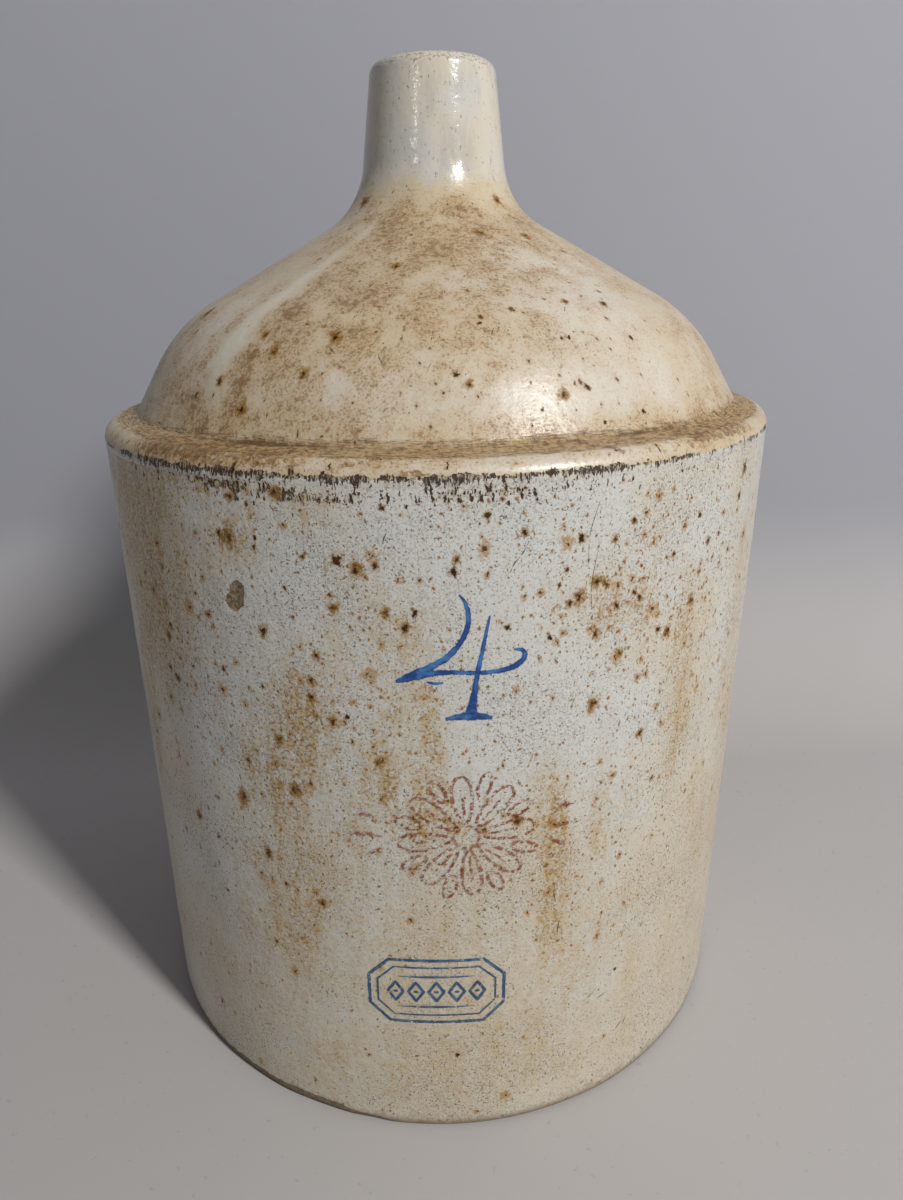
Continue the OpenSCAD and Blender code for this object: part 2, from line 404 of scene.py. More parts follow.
def crockGlaze():
    look = looks["crock"]
    material, skin, place = newMaterial("crockGlaze", look["gloss"])
    level = painted("level")
    chart, fade = wallChart(place, level)
    warm = painted("warmth") + (noiseField(place, 24.0, 4.0) - 0.5) * 2.4
    color, dark = pepperedWhite(place, smoothRange(warm, 0.0, 1.0))
    # Ochre stain: a thin wash, then grains that thicken where it has run
    rust = painted("rust")
    runs = noiseField(stretched(place, (1.0, 1.0, 0.2)), 95.0, 4.0, 0.6)
    stain = calc("MINIMUM", painted("ochre") * smoothRange(runs, 0.32, 0.66, 0.3, 1.2), 1.0)
    blotch = smoothRange(noiseField(place, 260.0, 6.0, 0.7), 0.36, 0.64, 0.1, 0.8)
    color = mixColor(stain * blotch, color, tones["wash"])
    amount = stain * 0.46 + rust * 0.12
    color = mixColor(grainsOn(place, 0.0013, amount, 0.14) * 0.68, color, tones["ochre"])
    moved = stretched(place, moved=(0.5, 0.1, 0.8))
    color = mixColor(grainsOn(moved, 0.0011, amount * 0.66, 0.1) * 0.7, color, tones["browned"])
    color = mixColor(grainsOn(moved, 0.0016, painted("moss"), 0.2) * 0.7, color, tones["moss"])
    color, core = crockIron(color, place, chart, fade, rust)
    # Bare clay where the glaze has chipped, and grime along the seam
    ragged = noiseField(place, 230.0, 4.0) - 0.5
    bare = smoothRange(painted("bare") + ragged * 0.7, 0.46, 0.52)
    gritty = smoothRange(noiseField(place, 700.0, 5.0, 0.7), 0.38, 0.62)
    color = mixColor(bare, color, mixColor(gritty, tones["clayDeep"], tones["clayPale"]))
    color, seam = seamGrime(color, place, level, chart)
    clots = grainsOn(stretched(place, (1.0, 1.0, 0.75)), 0.0024, painted("clot") * 0.66, 0.07, 7.0)
    gaps = noiseField(stretched(place, (1.0, 1.0, 0.5)), 1000.0, 4.0, 0.7)
    clots = clots * smoothRange(gaps, 0.4, 0.52, 0.2, 1.0)
    color = mixColor(clots * 0.92, color, mixColor(gritty, tones["grime"], tones["crockClot"]))
    # A dark contact line at the foot
    foot = smoothRange(level + ragged * 0.006, 0.0042, 0.001)
    color = mixColor(foot * 0.85, color, tones["bareClay"])
    scuffed = smoothRange(level, 0.014, 0.002, 0.0, 0.5) + ragged * 0.9
    color = mixColor(smoothRange(scuffed, 0.3, 0.62, 0.0, 0.5), color, tones["scuff"])
    feed(skin.inputs["Base Color"], color)
    broken = larger(bare, seam, clots)
    worn = larger(broken, foot, core * 0.8)
    feed(skin.inputs["Roughness"], smoothRange(worn, 0.0, 1.0, look["gloss"], 0.88))
    pits = core * 0.5 + dark * 0.12 + broken * 0.9
    raiseSkin(skin, skinHeight(place, look) - pits, look["depth"])
    return material


def creamGlaze(place):
    # Cream base with paler patches; gives the patches' noise too
    patches = noiseField(place, 22.0, 4.0)
    pale = smoothRange(painted("pale") + (patches - 0.5) * 2.0, 0.1, 1.0)
    color = mixColor(pale, tones["cream"], tones["paleCream"])
    return mixColor(grainsOn(place, 0.0009, 0.42, 0.14, 2.0) * 0.3, color, tones["dirt"]), patches


def brownFilm(color, place, level, fleck):
    # Brown film in fine grains and in cloudy mottles; gives the grains' mask too
    clouds = smoothRange(noiseField(place, 70.0, 6.0, 0.72), 0.33, 0.67)
    run = calc("MINIMUM", painted("run"), 1.0)
    film = painted("dirt") * (0.32 + clouds * 0.9) * (1.0 - run * 0.85)
    color = mixColor(run * 0.4, color, tones["paleCream"])
    color = mixColor(calc("MINIMUM", film, 1.0) * 0.62, color, tones["topWash"])
    filmTone = mixColor(fleck, tones["filmPale"], tones["filmDeep"])
    grains = grainsOn(place, 0.00085, calc("MINIMUM", 0.1 + film * 0.5, 0.6), 0.16)
    color = mixColor(grains * 0.66, color, filmTone)
    blots = grainsOn(stretched(place, moved=(0.3, 0.6, 0.1)), 0.004, film * 0.54, 0.26, 6.0)
    color = mixColor(blots * 0.34, color, filmTone)
    clumps = grainsOn(stretched(place, moved=(0.9, 0.2, 0.6)), 0.0022, film * 0.38, 0.1, 5.0)
    color = mixColor(clumps * 0.54, color, tones["clump"])
    rings = noiseField(turned(place, 6.0, 900.0), 1.0, 3.0, 0.6)
    lines = smoothRange(rings, 0.56, 0.7) * smoothRange(level, 0.31, 0.335)
    return mixColor(lines * 0.3, color, tones["film"]), grains


def wipedLedge(color, place, fleck):
    # The wiped ledge, brown with fine dark lines round it, its crease darkened with painted shade and some
    # dirt, and its clots
    brushed = noiseField(turned(place, 26.0, 1300.0), 1.0, 4.0, 0.65)
    mottle = brushed * 0.45 + noiseField(place, 420.0, 6.0, 0.72) * 0.55
    ledge = mixColor(smoothRange(mottle, 0.46, 0.58), tones["ledgePale"], tones["ledgeDeep"])
    crust = noiseField(place, 160.0, 5.0, 0.7) - 0.5
    crumbs = smoothRange(noiseField(place, 620.0, 4.0, 0.7), 0.48, 0.6)
    ledge = mixColor(crumbs * 0.5, ledge, tones["crumb"])
    cover = smoothRange(painted("wiped") + (brushed - 0.5) * 1.3 + crust * 1.6, 0.3, 1.0)
    color = mixColor(cover * 0.84, color, ledge)
    # The crease painted darker: painted shade with some dirt
    creaseShadeAndGrime = smoothRange(painted("crease") + crust * 1.2, 0.5, 0.85, 0.0, 0.8)
    color = mixColor(creaseShadeAndGrime, color, tones["creaseShadeAndGrime"])
    gaps = smoothRange(noiseField(place, 900.0, 4.0, 0.7), 0.38, 0.52, 0.3, 1.0)
    clots = grainsOn(place, 0.0024, painted("clot") * 1.2, 0.1, 7.0) * gaps
    color = mixColor(clots * 0.8, color, mixColor(fleck, tones["clotPale"], tones["clotDeep"]))
    return color, cover, brushed


def neckGlaze(place):
    # The neck's clean glaze, with a little smoke, specks and a worn rim
    color = mixColor(smoothRange(noiseField(place, 45.0), 0.4, 0.65), tones["neckCool"], tones["neckWarm"])
    smoke = noiseField(stretched(place, (1.0, 1.0, 0.35)), 130.0, 5.0, 0.65)
    color = mixColor(smoothRange(smoke, 0.46, 0.68) * 0.36, color, tones["smoke"])
    specks = grainsOn(stretched(place, (1.0, 1.0, 0.6)), 0.0012, 0.2, 0.08, 2.0)
    color = mixColor(specks * 0.58, color, tones["neckSpeck"])
    return mixColor(grainsOn(place, 0.001, painted("rim") * 0.55, 0.16) * 0.62, color, tones["rimGrain"])


def topGlaze(name):
    # Ledge, dome and neck share one glaze, so its colour runs on over their seams
    look = looks["top"]
    material, skin, place = newMaterial(name, look["gloss"])
    level = painted("level")
    fleck = smoothRange(noiseField(place, 520.0, 6.0, 0.72), 0.38, 0.62)
    color, patches = creamGlaze(place)
    color, grains = brownFilm(color, place, level, fleck)
    color, cover, brushed = wipedLedge(color, place, fleck)
    onNeck = smoothRange(level + (noiseField(place, 120.0, 4.0) - 0.5) * 0.02, 0.3615, 0.3705)
    color = mixColor(onNeck, color, neckGlaze(place))
    # Below the arris, the crock's white
    below = smoothRange(level + (patches - 0.5) * 0.001, 0.2719, 0.2713)
    color = mixColor(below, color, pepperedWhite(place, 0.35)[0])
    # Pits, iron spots and grime
    above = topChart(place)
    bigCore, bigHalo = dotsOn(above, place, 0.0125, 0.36, 0.06, 3.0, 0.002)
    moved = stretched(above, moved=(0.4, 0.3, 0.0))
    smallCore, smallHalo = dotsOn(moved, place, 0.0056, 0.42, 0.066, 3.0, 0.0014)
    offNeck = 1.0 - onNeck
    core = larger(bigCore, smallCore * 0.85) * offNeck
    color = mixColor(larger(bigHalo, smallHalo) * offNeck * 0.36, color, tones["halo"])
    color = mixColor(core * 0.85, color, tones["ironCore"])
    color, seam = seamGrime(color, place, level, wallChart(place, level)[0])
    feed(skin.inputs["Base Color"], color)
    rough = smoothRange(larger(seam, cover * 0.75), 0.0, 1.0, look["gloss"], 0.8)
    feed(skin.inputs["Roughness"], rough - onNeck * 0.19 + grains * 0.12)
    pits = core * 0.6 + seam * 0.9 + brushed * cover * 0.7
    raiseSkin(skin, skinHeight(place, look) - pits, look["depth"])
    return material


def handleGlaze():
    look = looks["strap"]
    material, skin, place = newMaterial("handleGlaze", look["gloss"], coating["strap"])
    pale = smoothRange(noiseField(place, 34.0, 4.0), 0.35, 0.65)
    color = mixColor(pale, tones["cream"], tones["paleCream"])
    grains = grainsOn(place, 0.0034, 0.28 + painted("edge") * 0.45, 0.14, 5.0)
    color = mixColor(grains * 0.62, color, tones["film"])
    color = mixColor(grainsOn(place, 0.0012, 0.28, 0.07, 2.0) * 0.4, color, tones["pepper"])
    core, halo = dotsOn(strapChart(place), place, 0.0076, 0.4, 0.08, 2.6, 0.0014)
    color = mixColor(halo * 0.4, color, tones["halo"])
    color = mixColor(core * 0.85, color, tones["ironCore"])
    feed(skin.inputs["Base Color"], color)
    feed(skin.inputs["Roughness"], look["gloss"] + grains * 0.12)
    raiseSkin(skin, skinHeight(place, look) - core * 0.5, look["depth"])
    return material


def lutingSlip():
    material, skin, place = newMaterial("lutingSlip", 0.8)
    smear = smoothRange(noiseField(place, 100.0, 4.0), 0.35, 0.65)
    feed(skin.inputs["Base Color"], mixColor(smear, tones["slipDeep"], tones["slipPale"]))
    raiseSkin(skin, noiseField(place, 240.0, 4.0), 0.0008)
    return material


crockGlazeSkin = crockGlaze()
domeGlazeSkin = topGlaze("domeGlaze")
neckGlazeSkin = topGlaze("neckGlaze")
handleGlazeSkin = handleGlaze()
lutingSlipSkin = lutingSlip()
print("stage: glazes mixed")

# The turned outline, from the frame's sizes
crockHigh = Vector(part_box("crock_body")[1])
neckLow, neckHigh = (Vector(c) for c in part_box("neck"))
rimRadius = crockHigh.x
crockHeight = crockHigh.z
mouthHeight = neckHigh.z
neckSeam = neckLow.z

outline = {
    "footInset": 0.003, "footRound": 0.002, "footRing": 0.006, "wall": 0.0125, "base": 0.014, "cove": 0.016,
    "ledgeLip": 0.0016, "ledgeHeight": 0.007, "arrisRound": 0.007, "ledgeWidth": 0.0146, "ledgeRise": 0.003,
    "creaseRound": 0.003, "domeLean": 0.019, "domeSide": 0.0336, "domeRound": 0.068, "domeSlope": 0.044,
    "domeWall": 0.011, "throatRadius": 0.031, "throatRound": 0.031, "mouthRadius": 0.025, "lipRound": 0.005,
    "boreRadius": 0.015, "boreRound": 0.002, "throatStep": 0.004,
}
arris = (rimRadius + outline["ledgeLip"], crockHeight + outline["ledgeHeight"])
crease = (arris[0] - outline["ledgeWidth"], arris[1] + outline["ledgeRise"])
shoulder = (crease[0] - outline["domeLean"], crease[1] + outline["domeSide"])
throat = (outline["throatRadius"], shoulder[1] + outline["domeSlope"])
mouth = (outline["mouthRadius"], mouthHeight)


def softLine(corners, radii, stepAngle=3.0):
    # The corners of a line rounded with their radii, each as far as its legs allow
    points = []
    spots = [Vector(c) for c in corners]
    for i, spot in enumerate(spots):
        if not radii[i]:
            points.append(spot)
            continue
        legs = [spots[j] - spot for j in (i - 1, i + 1)]
        free = min(leg.length * (0.5 if radii[j] else 1.0) for leg, j in zip(legs, (i - 1, i + 1)))
        u, v = (leg.normalized() for leg in legs)
        half = u.angle(v) / 2
        radius = min(radii[i], free * math.tan(half))
        centre = spot + (u + v).normalized() * radius / math.sin(half)
        first = spot + u * radius / math.tan(half) - centre
        last = spot + v * radius / math.tan(half) - centre
        start = math.atan2(first.y, first.x)
        turn = (math.atan2(last.y, last.x) - start + 3 * math.pi) % (2 * math.pi) - math.pi
        steps = max(2, math.ceil(abs(math.degrees(turn)) / stepAngle))
        angles = [start + turn * k / steps for k in range(steps + 1)]
        points += [centre + radius * Vector((math.cos(angle), math.sin(angle))) for angle in angles]
    return points


def finerLine(points, spacing):
    # The same line with points no further apart than the spacing
    out = [points[0]]
    for a, b in zip(points[:-1], points[1:]):
        count = max(1, math.ceil((b - a).length / spacing))
        out += [a.lerp(b, k / count) for k in range(1, count + 1)]
    return out


def sheet(across, along):
    # A flat sheet of points to bend into shape, and the place of each on it, from -0.5 to 0.5
    inputs = {"Size X": 1.0, "Size Y": 1.0, "Vertices X": across + 1.0, "Vertices Y": along}
    return result("GeometryNodeMeshGrid", inputs, "Mesh"), *split(result("GeometryNodeInputPosition"))[:2]


def pickPlace(line, index, **settings):
    inputs = {"Geometry": line, "Value": result("GeometryNodeInputPosition"), "Index": index}
    return result("GeometryNodeSampleIndex", inputs, data_type="FLOAT_VECTOR", **settings)


def finishGeometry(out, geometry, glaze):
    real = result("GeometryNodeRealizeInstances", {0: geometry})
    feed(out, result("GeometryNodeSetMaterial", {"Geometry": real, "Material": glaze}))


def turnedGroup():
    # Geometry Nodes: turns an outline of points about the axis, with a thrower's wobble
    inputs = {"Outline": "Geometry", "Segments": 512, "Rows": 100, "Wobble": 0.0004, "Wobble Size": 0.12,
              "Seed": 3, "Glaze": "Material"}
    tree, given, out = newGroup("turnedWall", "GeometryNodeTree", inputs, {"Wall": "Geometry"})
    grid, x, y = sheet(given["Segments"], given["Rows"])
    row = calc("ROUND", (y + 0.5) * (given["Rows"] - 1.0))
    radius, _, height = split(pickPlace(given["Outline"], row))
    angle = x * (2 * math.pi)
    outwards = join(calc("SINE", angle), calc("COSINE", angle) * -1.0)
    place = vectorCalc("ADD", scaled(outwards, radius), join(0.0, 0.0, height))
    hand = {"Vector": place, "W": given["Seed"], "Scale": 1.0 / given["Wobble Size"], "Detail": 2.0}
    push = (result("ShaderNodeTexNoise", hand, noise_dimensions="4D") - 0.5) * given["Wobble"]
    push = push * calc("MINIMUM", radius * 50.0, 1.0)
    wobbled = vectorCalc("ADD", place, scaled(outwards, push))
    wall = result("GeometryNodeSetPosition", {"Geometry": grid, "Position": wobbled})
    wall = result("GeometryNodeMergeByDistance", {"Geometry": wall, "Distance": 0.000005})
    wall = result("GeometryNodeSetShadeSmooth", {0: wall})
    finishGeometry(out["Wall"], wall, given["Glaze"])
    return tree


turnedWall = turnedGroup()


def plainObject(name, mesh):
    piece = bpy.data.objects.new(name, mesh)
    scene.collection.objects.link(piece)
    return piece


def shapeLine(name, points, group, inputs):
    # Runs a Geometry Nodes group on a line of points and gives the plain mesh that it makes
    line = bpy.data.meshes.new(name + "Line")
    line.from_pydata(points, [(i, i + 1) for i in range(len(points) - 1)], [])
    draft = plainObject(name + "Draft", line)
    shaper = draft.modifiers.new(group.name, "NODES")
    shaper.node_group = group
    for item in group.interface.items_tree:
        if item.item_type == "SOCKET" and item.in_out == "INPUT" and item.name in inputs:
            shaper[item.identifier] = inputs[item.name]
    made = bpy.data.meshes.new_from_object(draft.evaluated_get(bpy.context.evaluated_depsgraph_get()))
    bpy.data.objects.remove(draft)
    bpy.data.meshes.remove(line)
    return made


# How far the thrown wall strays from true, one pattern for all the turned pieces so that they meet
throwing = {"Wobble": 0.0011, "Wobble Size": 0.085, "Seed": 3}
sharpAngle = math.radians(38)


def turnPiece(name, points, segments, glaze):
    # Turns a closed outline into a finished plain mesh
    inputs = {"Segments": segments, "Rows": len(points), "Glaze": glaze, **throwing}
    made = shapeLine(name, [(p.x, 0.0, p.y) for p in points], turnedWall, inputs)
    made.name = name
    made.set_sharp_from_angle(angle=sharpAngle)
    print("stage:", name, len(made.polygons), "faces")
    return plainObject(name, made)


def meshVectors(piece, kind):
    # The places ("co") or the normals ("normal") of a mesh's points
    values = np.empty(len(piece.data.vertices) * 3, dtype=np.float32)
    piece.data.vertices.foreach_get(kind, values)
    return values.reshape(-1, 3).astype(float)


def movePlaces(piece, places):
    piece.data.vertices.foreach_set("co", places.astype(np.float32).ravel())
    piece.data.update()


def paintField(piece, name, values):
    field = piece.data.attributes.new(name, "FLOAT", "POINT")
    field.data.foreach_set("value", np.clip(values, 0.0, 2.0).astype(np.float32))


def softStep(low, high, values):
    share = np.clip((values - low) / (high - low), 0.0, 1.0)
    return share * share * (3 - 2 * share)


def arcAndHeight(places):
    # How far round from the front, along the wall at the crock's rim radius, and the height
    turn = np.arctan2(places[:, 0], -places[:, 1])
    return turn * rimRadius, places[:, 2]


def blobs(places, marks):
    # Soft oval marks: (arc, height, half width, half height, strength), all but the last in mm
    arc, height = arcAndHeight(places)
    total = np.zeros(len(places))
    for centre, level, wide, tall, strength in marks:
        away = ((arc * 1000 - centre) / wide) ** 2 + ((height * 1000 - level) / tall) ** 2
        total += strength * np.exp(-away)
    return total


def handNoise(places, size, seed=0.0):
    # Smooth noise from -1 to 1 at each place
    return np.array([noise.noise(Vector(p) / size + Vector((seed, seed, seed))) for p in places])


# The kiln's lean: the upper half sits a little higher at +X
kilnLean = {"angle": 0.57, "from": 0.23, "to": 0.275}


def leanPlaces(places):
    share = softStep(kilnLean["from"], kilnLean["to"], places[:, 2])
    moved = places.copy()
    moved[:, 2] += share * math.radians(kilnLean["angle"]) * places[:, 0]
    return moved


# What has stained and worn the jug: arc from the front, height, half width, half height in mm, and strength
stains = {
    "ochre": [
        (-50, 188, 8, 24, 1.0), (-66, 145, 14, 38, 1.0), (-62, 100, 20, 30, 0.6), (-10, 186, 12, 28, 1.0),
        (-4, 150, 34, 20, 0.5), (42, 116, 7, 30, 1.0), (40, 150, 16, 20, 0.5), (99, 170, 7, 30, 0.65),
        (-36, 172, 26, 40, 0.45), (66, 134, 14, 34, 0.55), (118, 130, 14, 50, 0.4),
        (-148, 180, 14, 90, 0.8), (-136, 240, 20, 30, 0.9), (-72, 250, 11, 11, 0.8),
        (140, 150, 16, 90, 0.55), (20, 45, 90, 36, 0.45), (-20, 100, 60, 30, 0.4),
        (-112, 205, 26, 34, 0.45), (52, 228, 22, 14, 0.7), (90, 215, 24, 20, 0.5), (-20, 222, 22, 14, 0.45),
        (-95, 60, 20, 40, 0.3), (70, 70, 24, 30, 0.35), (-30, 30, 40, 14, 0.4), (-80, 268, 26, 5, 1.2),
        (-62, 262, 3, 7, 1.0), (-46, 264, 10, 4, 0.9), (-43, 259, 2, 6, 0.8), (-118, 246, 22, 26, 1.0),
        (-128, 214, 14, 30, 0.7), (-104, 258, 10, 10, 0.5), (180, 120, 26, 70, 0.6),
        (-220, 140, 30, 70, 0.6), (260, 170, 30, 60, 0.6), (-330, 120, 36, 60, 0.6),
        (340, 150, 30, 70, 0.6), (420, 120, 40, 60, 0.5), (-410, 170, 30, 60, 0.5), (300, 40, 120, 26, 0.4),
        (-280, 40, 120, 26, 0.4),
    ],
    "rust": [
        (-72, 246, 16, 14, 0.9), (-34, 242, 16, 10, 0.9), (52, 228, 34, 22, 1.0), (92, 214, 36, 30, 0.9),
        (-35, 195, 34, 30, 0.6), (-95, 215, 34, 40, 0.7), (-70, 146, 30, 40, 0.6), (0, 150, 70, 34, 0.6),
        (60, 150, 60, 60, 0.4), (30, 250, 70, 16, 0.45), (-125, 190, 34, 60, 0.7), (130, 215, 40, 50, 0.6),
        (230, 200, 60, 60, 0.6), (-230, 180, 60, 60, 0.6), (360, 180, 70, 60, 0.6),
        (-360, 200, 70, 60, 0.6),
    ],
    "bare": [
        (-71.2, 231.4, 3.2, 3.6, 1.0), (-72.4, 228.4, 3.0, 3.0, 0.5), (-73.8, 225.4, 4.2, 3.0, 1.0),
        (-128, 0, 40, 4.4, 1.0), (-84, 0, 24, 5.4, 1.0), (-52, 0, 17, 5.4, 1.1), (-30, 0, 8, 2.6, 0.9),
        (150, 1, 20, 3, 0.8), (290, 2, 26, 4, 0.9), (-300, 1, 20, 3, 0.8),
    ],
    "seam": [
        (-74, 271, 24, 9, 1.15), (-32, 271, 22, 9, 0.75), (6, 271, 26, 9, 0.85), (46, 271, 24, 9, 0.75),
        (82, 271, 12, 9, 0.3), (-112, 271, 22, 9, 0.7), (-240, 271, 70, 9, 0.6), (240, 271, 80, 9, 0.6),
        (400, 271, 60, 9, 0.6),
    ],
    "bristle": [
        (-78, 268, 18, 3.4, 1.4), (-50, 266, 14, 2.6, 0.95), (-26, 265.5, 14, 2.2, 0.55),
        (10, 266.5, 20, 2.2, 0.6), (44, 267.0, 16, 2.0, 0.5), (-102, 268.5, 16, 2.4, 0.5),
        (-240, 266.5, 60, 3.0, 0.4), (240, 266.5, 60, 3.0, 0.4), (400, 266.5, 60, 3.0, 0.3),
        (-10, 270, 90, 3.2, 0.35),
    ],
    "dirt": [
        (-52, 318, 42, 22, 0.75), (-96, 292, 30, 12, 0.6), (0, 343, 160, 11, 0.72), (-4, 330, 60, 20, 0.3),
        (30, 312, 60, 22, 0.15), (-20, 353, 300, 7, 0.55), (-90, 284, 60, 7, 0.6), (40, 283, 160, 4.5, 0.6),
        (70, 330, 70, 18, 0.35), (150, 300, 30, 30, 0.5), (-92, 275.5, 50, 4.4, 1.0),
        (118, 277, 46, 4, 0.9), (10, 276, 70, 3, 0.4), (-84, 300, 5, 14, 0.8), (-76, 322, 5, 10, 0.7),
        (-150, 305, 30, 30, 0.5), (0, 303, 70, 16, 0.35), (-98, 318, 18, 14, 0.4), (-108, 300, 14, 20, 0.5),
        (-220, 310, 60, 30, 0.55), (260, 310, 60, 30, 0.55), (400, 310, 70, 30, 0.5),
        (-380, 310, 70, 30, 0.5),
    ],
    "run": [
        (-79, 344, 6, 6, 0.7), (-87, 336, 6, 6, 0.8), (-93, 328, 6, 6, 0.9), (-97, 320, 6.5, 6, 0.9),
        (-100, 312, 7, 6, 0.9), (-101, 304, 7, 6, 0.9), (-100, 296, 7, 5, 0.8), (-95, 290, 6, 4, 0.6),
    ],
    "clot": [
        (-86, 268.8, 5, 1.8, 0.9), (-76, 267.6, 7, 2.8, 1.15), (-67, 266.4, 4, 3.0, 0.9),
        (-66, 261.5, 2.4, 2.2, 0.8), (-54, 266.2, 7, 2.2, 1.05), (-44, 265.6, 7, 2.6, 1.1),
        (-34, 265.4, 3.5, 2.2, 0.7), (-40, 260.5, 2.0, 1.6, 0.5), (-98, 269.6, 5, 1.4, 0.8),
        (-20, 265.8, 4, 1.4, 0.5), (-110, 275.5, 16, 3.2, 0.7), (-82, 276, 16, 3.4, 0.75),
        (-56, 276, 12, 3.2, 0.6), (-26, 276.4, 14, 2.4, 0.45), (-8, 273.2, 8, 1.6, 0.7),
        (60, 276, 14, 2.2, 0.4), (100, 276.4, 16, 2.6, 0.65), (128, 276, 14, 2.8, 0.6),
        (-240, 275.5, 40, 3.2, 0.6), (250, 275.5, 50, 3.2, 0.55), (-200, 268, 14, 2.6, 0.7),
        (330, 268, 18, 2.6, 0.7),
    ],
    "moss": [
        (43.5, 106, 2.4, 9, 0.55), (46.5, 88, 2.6, 8, 0.5), (-98, 96, 3.0, 5, 0.5), (-250, 120, 6, 16, 0.4),
        (300, 90, 5, 20, 0.4),
    ],
    "pale": [
        (80, 318, 60, 24, 0.8), (-125, 308, 26, 16, 0.8), (-36, 296, 34, 12, 0.6), (30, 292, 90, 12, 0.55),
        (240, 320, 60, 20, 0.6), (-280, 300, 60, 20, 0.6), (20, 275, 70, 2.4, 0.7),
    ],
}
stainBase = {"ochre": 0.1, "rust": 0.22, "seam": 0.06, "dirt": 0.36, "pale": 0.1}


def paintStains(piece, places):
    # Fields of every stain, and the height before the kiln's lean, for the glaze to read
    for name, marks in stains.items():
        paintField(piece, name, blobs(places, marks) + stainBase.get(name, 0.0))
    paintField(piece, "level", places[:, 2])


# Crock body
crock = {
    "segments": 512, "spacing": 0.0021, "innerSpacing": 0.012, "roundStep": 15.0, "dimple": 0.00022,
    "dimpleSize": 0.028, "dimpleSeed": 4.0, "chipDepth": 0.0007, "skinFrom": 0.008, "skinTo": 0.0045,
    # These marks warm the glaze on the shaded upper left: painted warm shade
    "shadedBeige": [(-124, 240, 24, 46, 1.2), (-120, 180, 14, 40, 0.5)],
}


def buildCrock():
    s = outline
    foot = rimRadius - s["footInset"]
    step = crock["roundStep"]
    outer = softLine([(0, 0), (foot, 0), (rimRadius, crockHeight)], [0, s["footRound"], 0], step)
    inside = [(rimRadius - s["wall"], crockHeight), (foot - s["wall"], s["base"]), (0, s["base"])]
    skin = [p for p in finerLine(outer, crock["spacing"]) if p.y > 0 or p.x > rimRadius - s["footRing"]]
    points = finerLine([Vector((0, 0)), skin[0]], crock["innerSpacing"])[:-1] + skin
    points += finerLine(softLine(inside, [0, s["cove"], 0], step), crock["innerSpacing"])
    piece = turnPiece("crock_wall", points, crock["segments"], crockGlazeSkin)
    places = meshVectors(piece, "co")
    radius = np.hypot(places[:, 0], places[:, 1])
    level = places[:, 2]
    outerShare = softStep(rimRadius - crock["skinFrom"], rimRadius - crock["skinTo"], radius)
    paintStains(piece, places)
    # The glaze is warmer low down and at the sides, and warmer on the shaded upper left, where it is painted
    # warm shade
    arc = arcAndHeight(places)[0]
    side = softStep(0.02, 0.12, arc) * 0.3 + softStep(0.09, 0.16, np.abs(arc)) * 0.2
    low = 1 - softStep(0.02, 0.2, level)
    paintField(piece, "warmth", 0.1 + 0.8 * low + side + blobs(places, crock["shadedBeige"]))
    # Faint dimples from the thrower's hands, and the chips' hollows
    taller = places * np.array([1, 1, 1.6])
    dents = handNoise(taller, crock["dimpleSize"], crock["dimpleSeed"]) * crock["dimple"]
    dents *= 1 - softStep(crockHeight - 0.012, crockHeight - 0.001, level)
    chips = -crock["chipDepth"] * np.clip(blobs(places, stains["bare"]) * 1.2 - 0.45, 0, 1)
    places += meshVectors(piece, "normal") * ((dents + chips) * outerShare)[:, None]
    places[:, 2] = np.maximum(places[:, 2], 0.0)
    movePlaces(piece, leanPlaces(places))
    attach(piece, "root")
    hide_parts("crock_body")
    return piece


crockPiece = buildCrock()

# Ledge and dome
dome = {
    "segments": 512, "spacing": 0.0014, "innerSpacing": 0.01, "roundStep": 8.0, "dimple": 0.0003,
    "dimpleSize": 0.035, "dimpleSeed": 9.0, "runDepth": 0.0002, "wiped": 1.1, "paleLeft": 0.26,
    # The crease values paint a darker band along the crease: painted shade with some dirt
    "creaseFrom": 0.0004, "creaseWidth": 0.0016, "creaseBase": 0.22, "creaseShadeAndDirt": 0.75,
    "creaseMarks": [(-62, 279, 34, 30, 1.0), (84, 279, 30, 30, 0.7)],
}


def inwards(a, b):
    way = (Vector(b) - Vector(a)).normalized()
    return Vector((-way.y, way.x)) * outline["domeWall"]


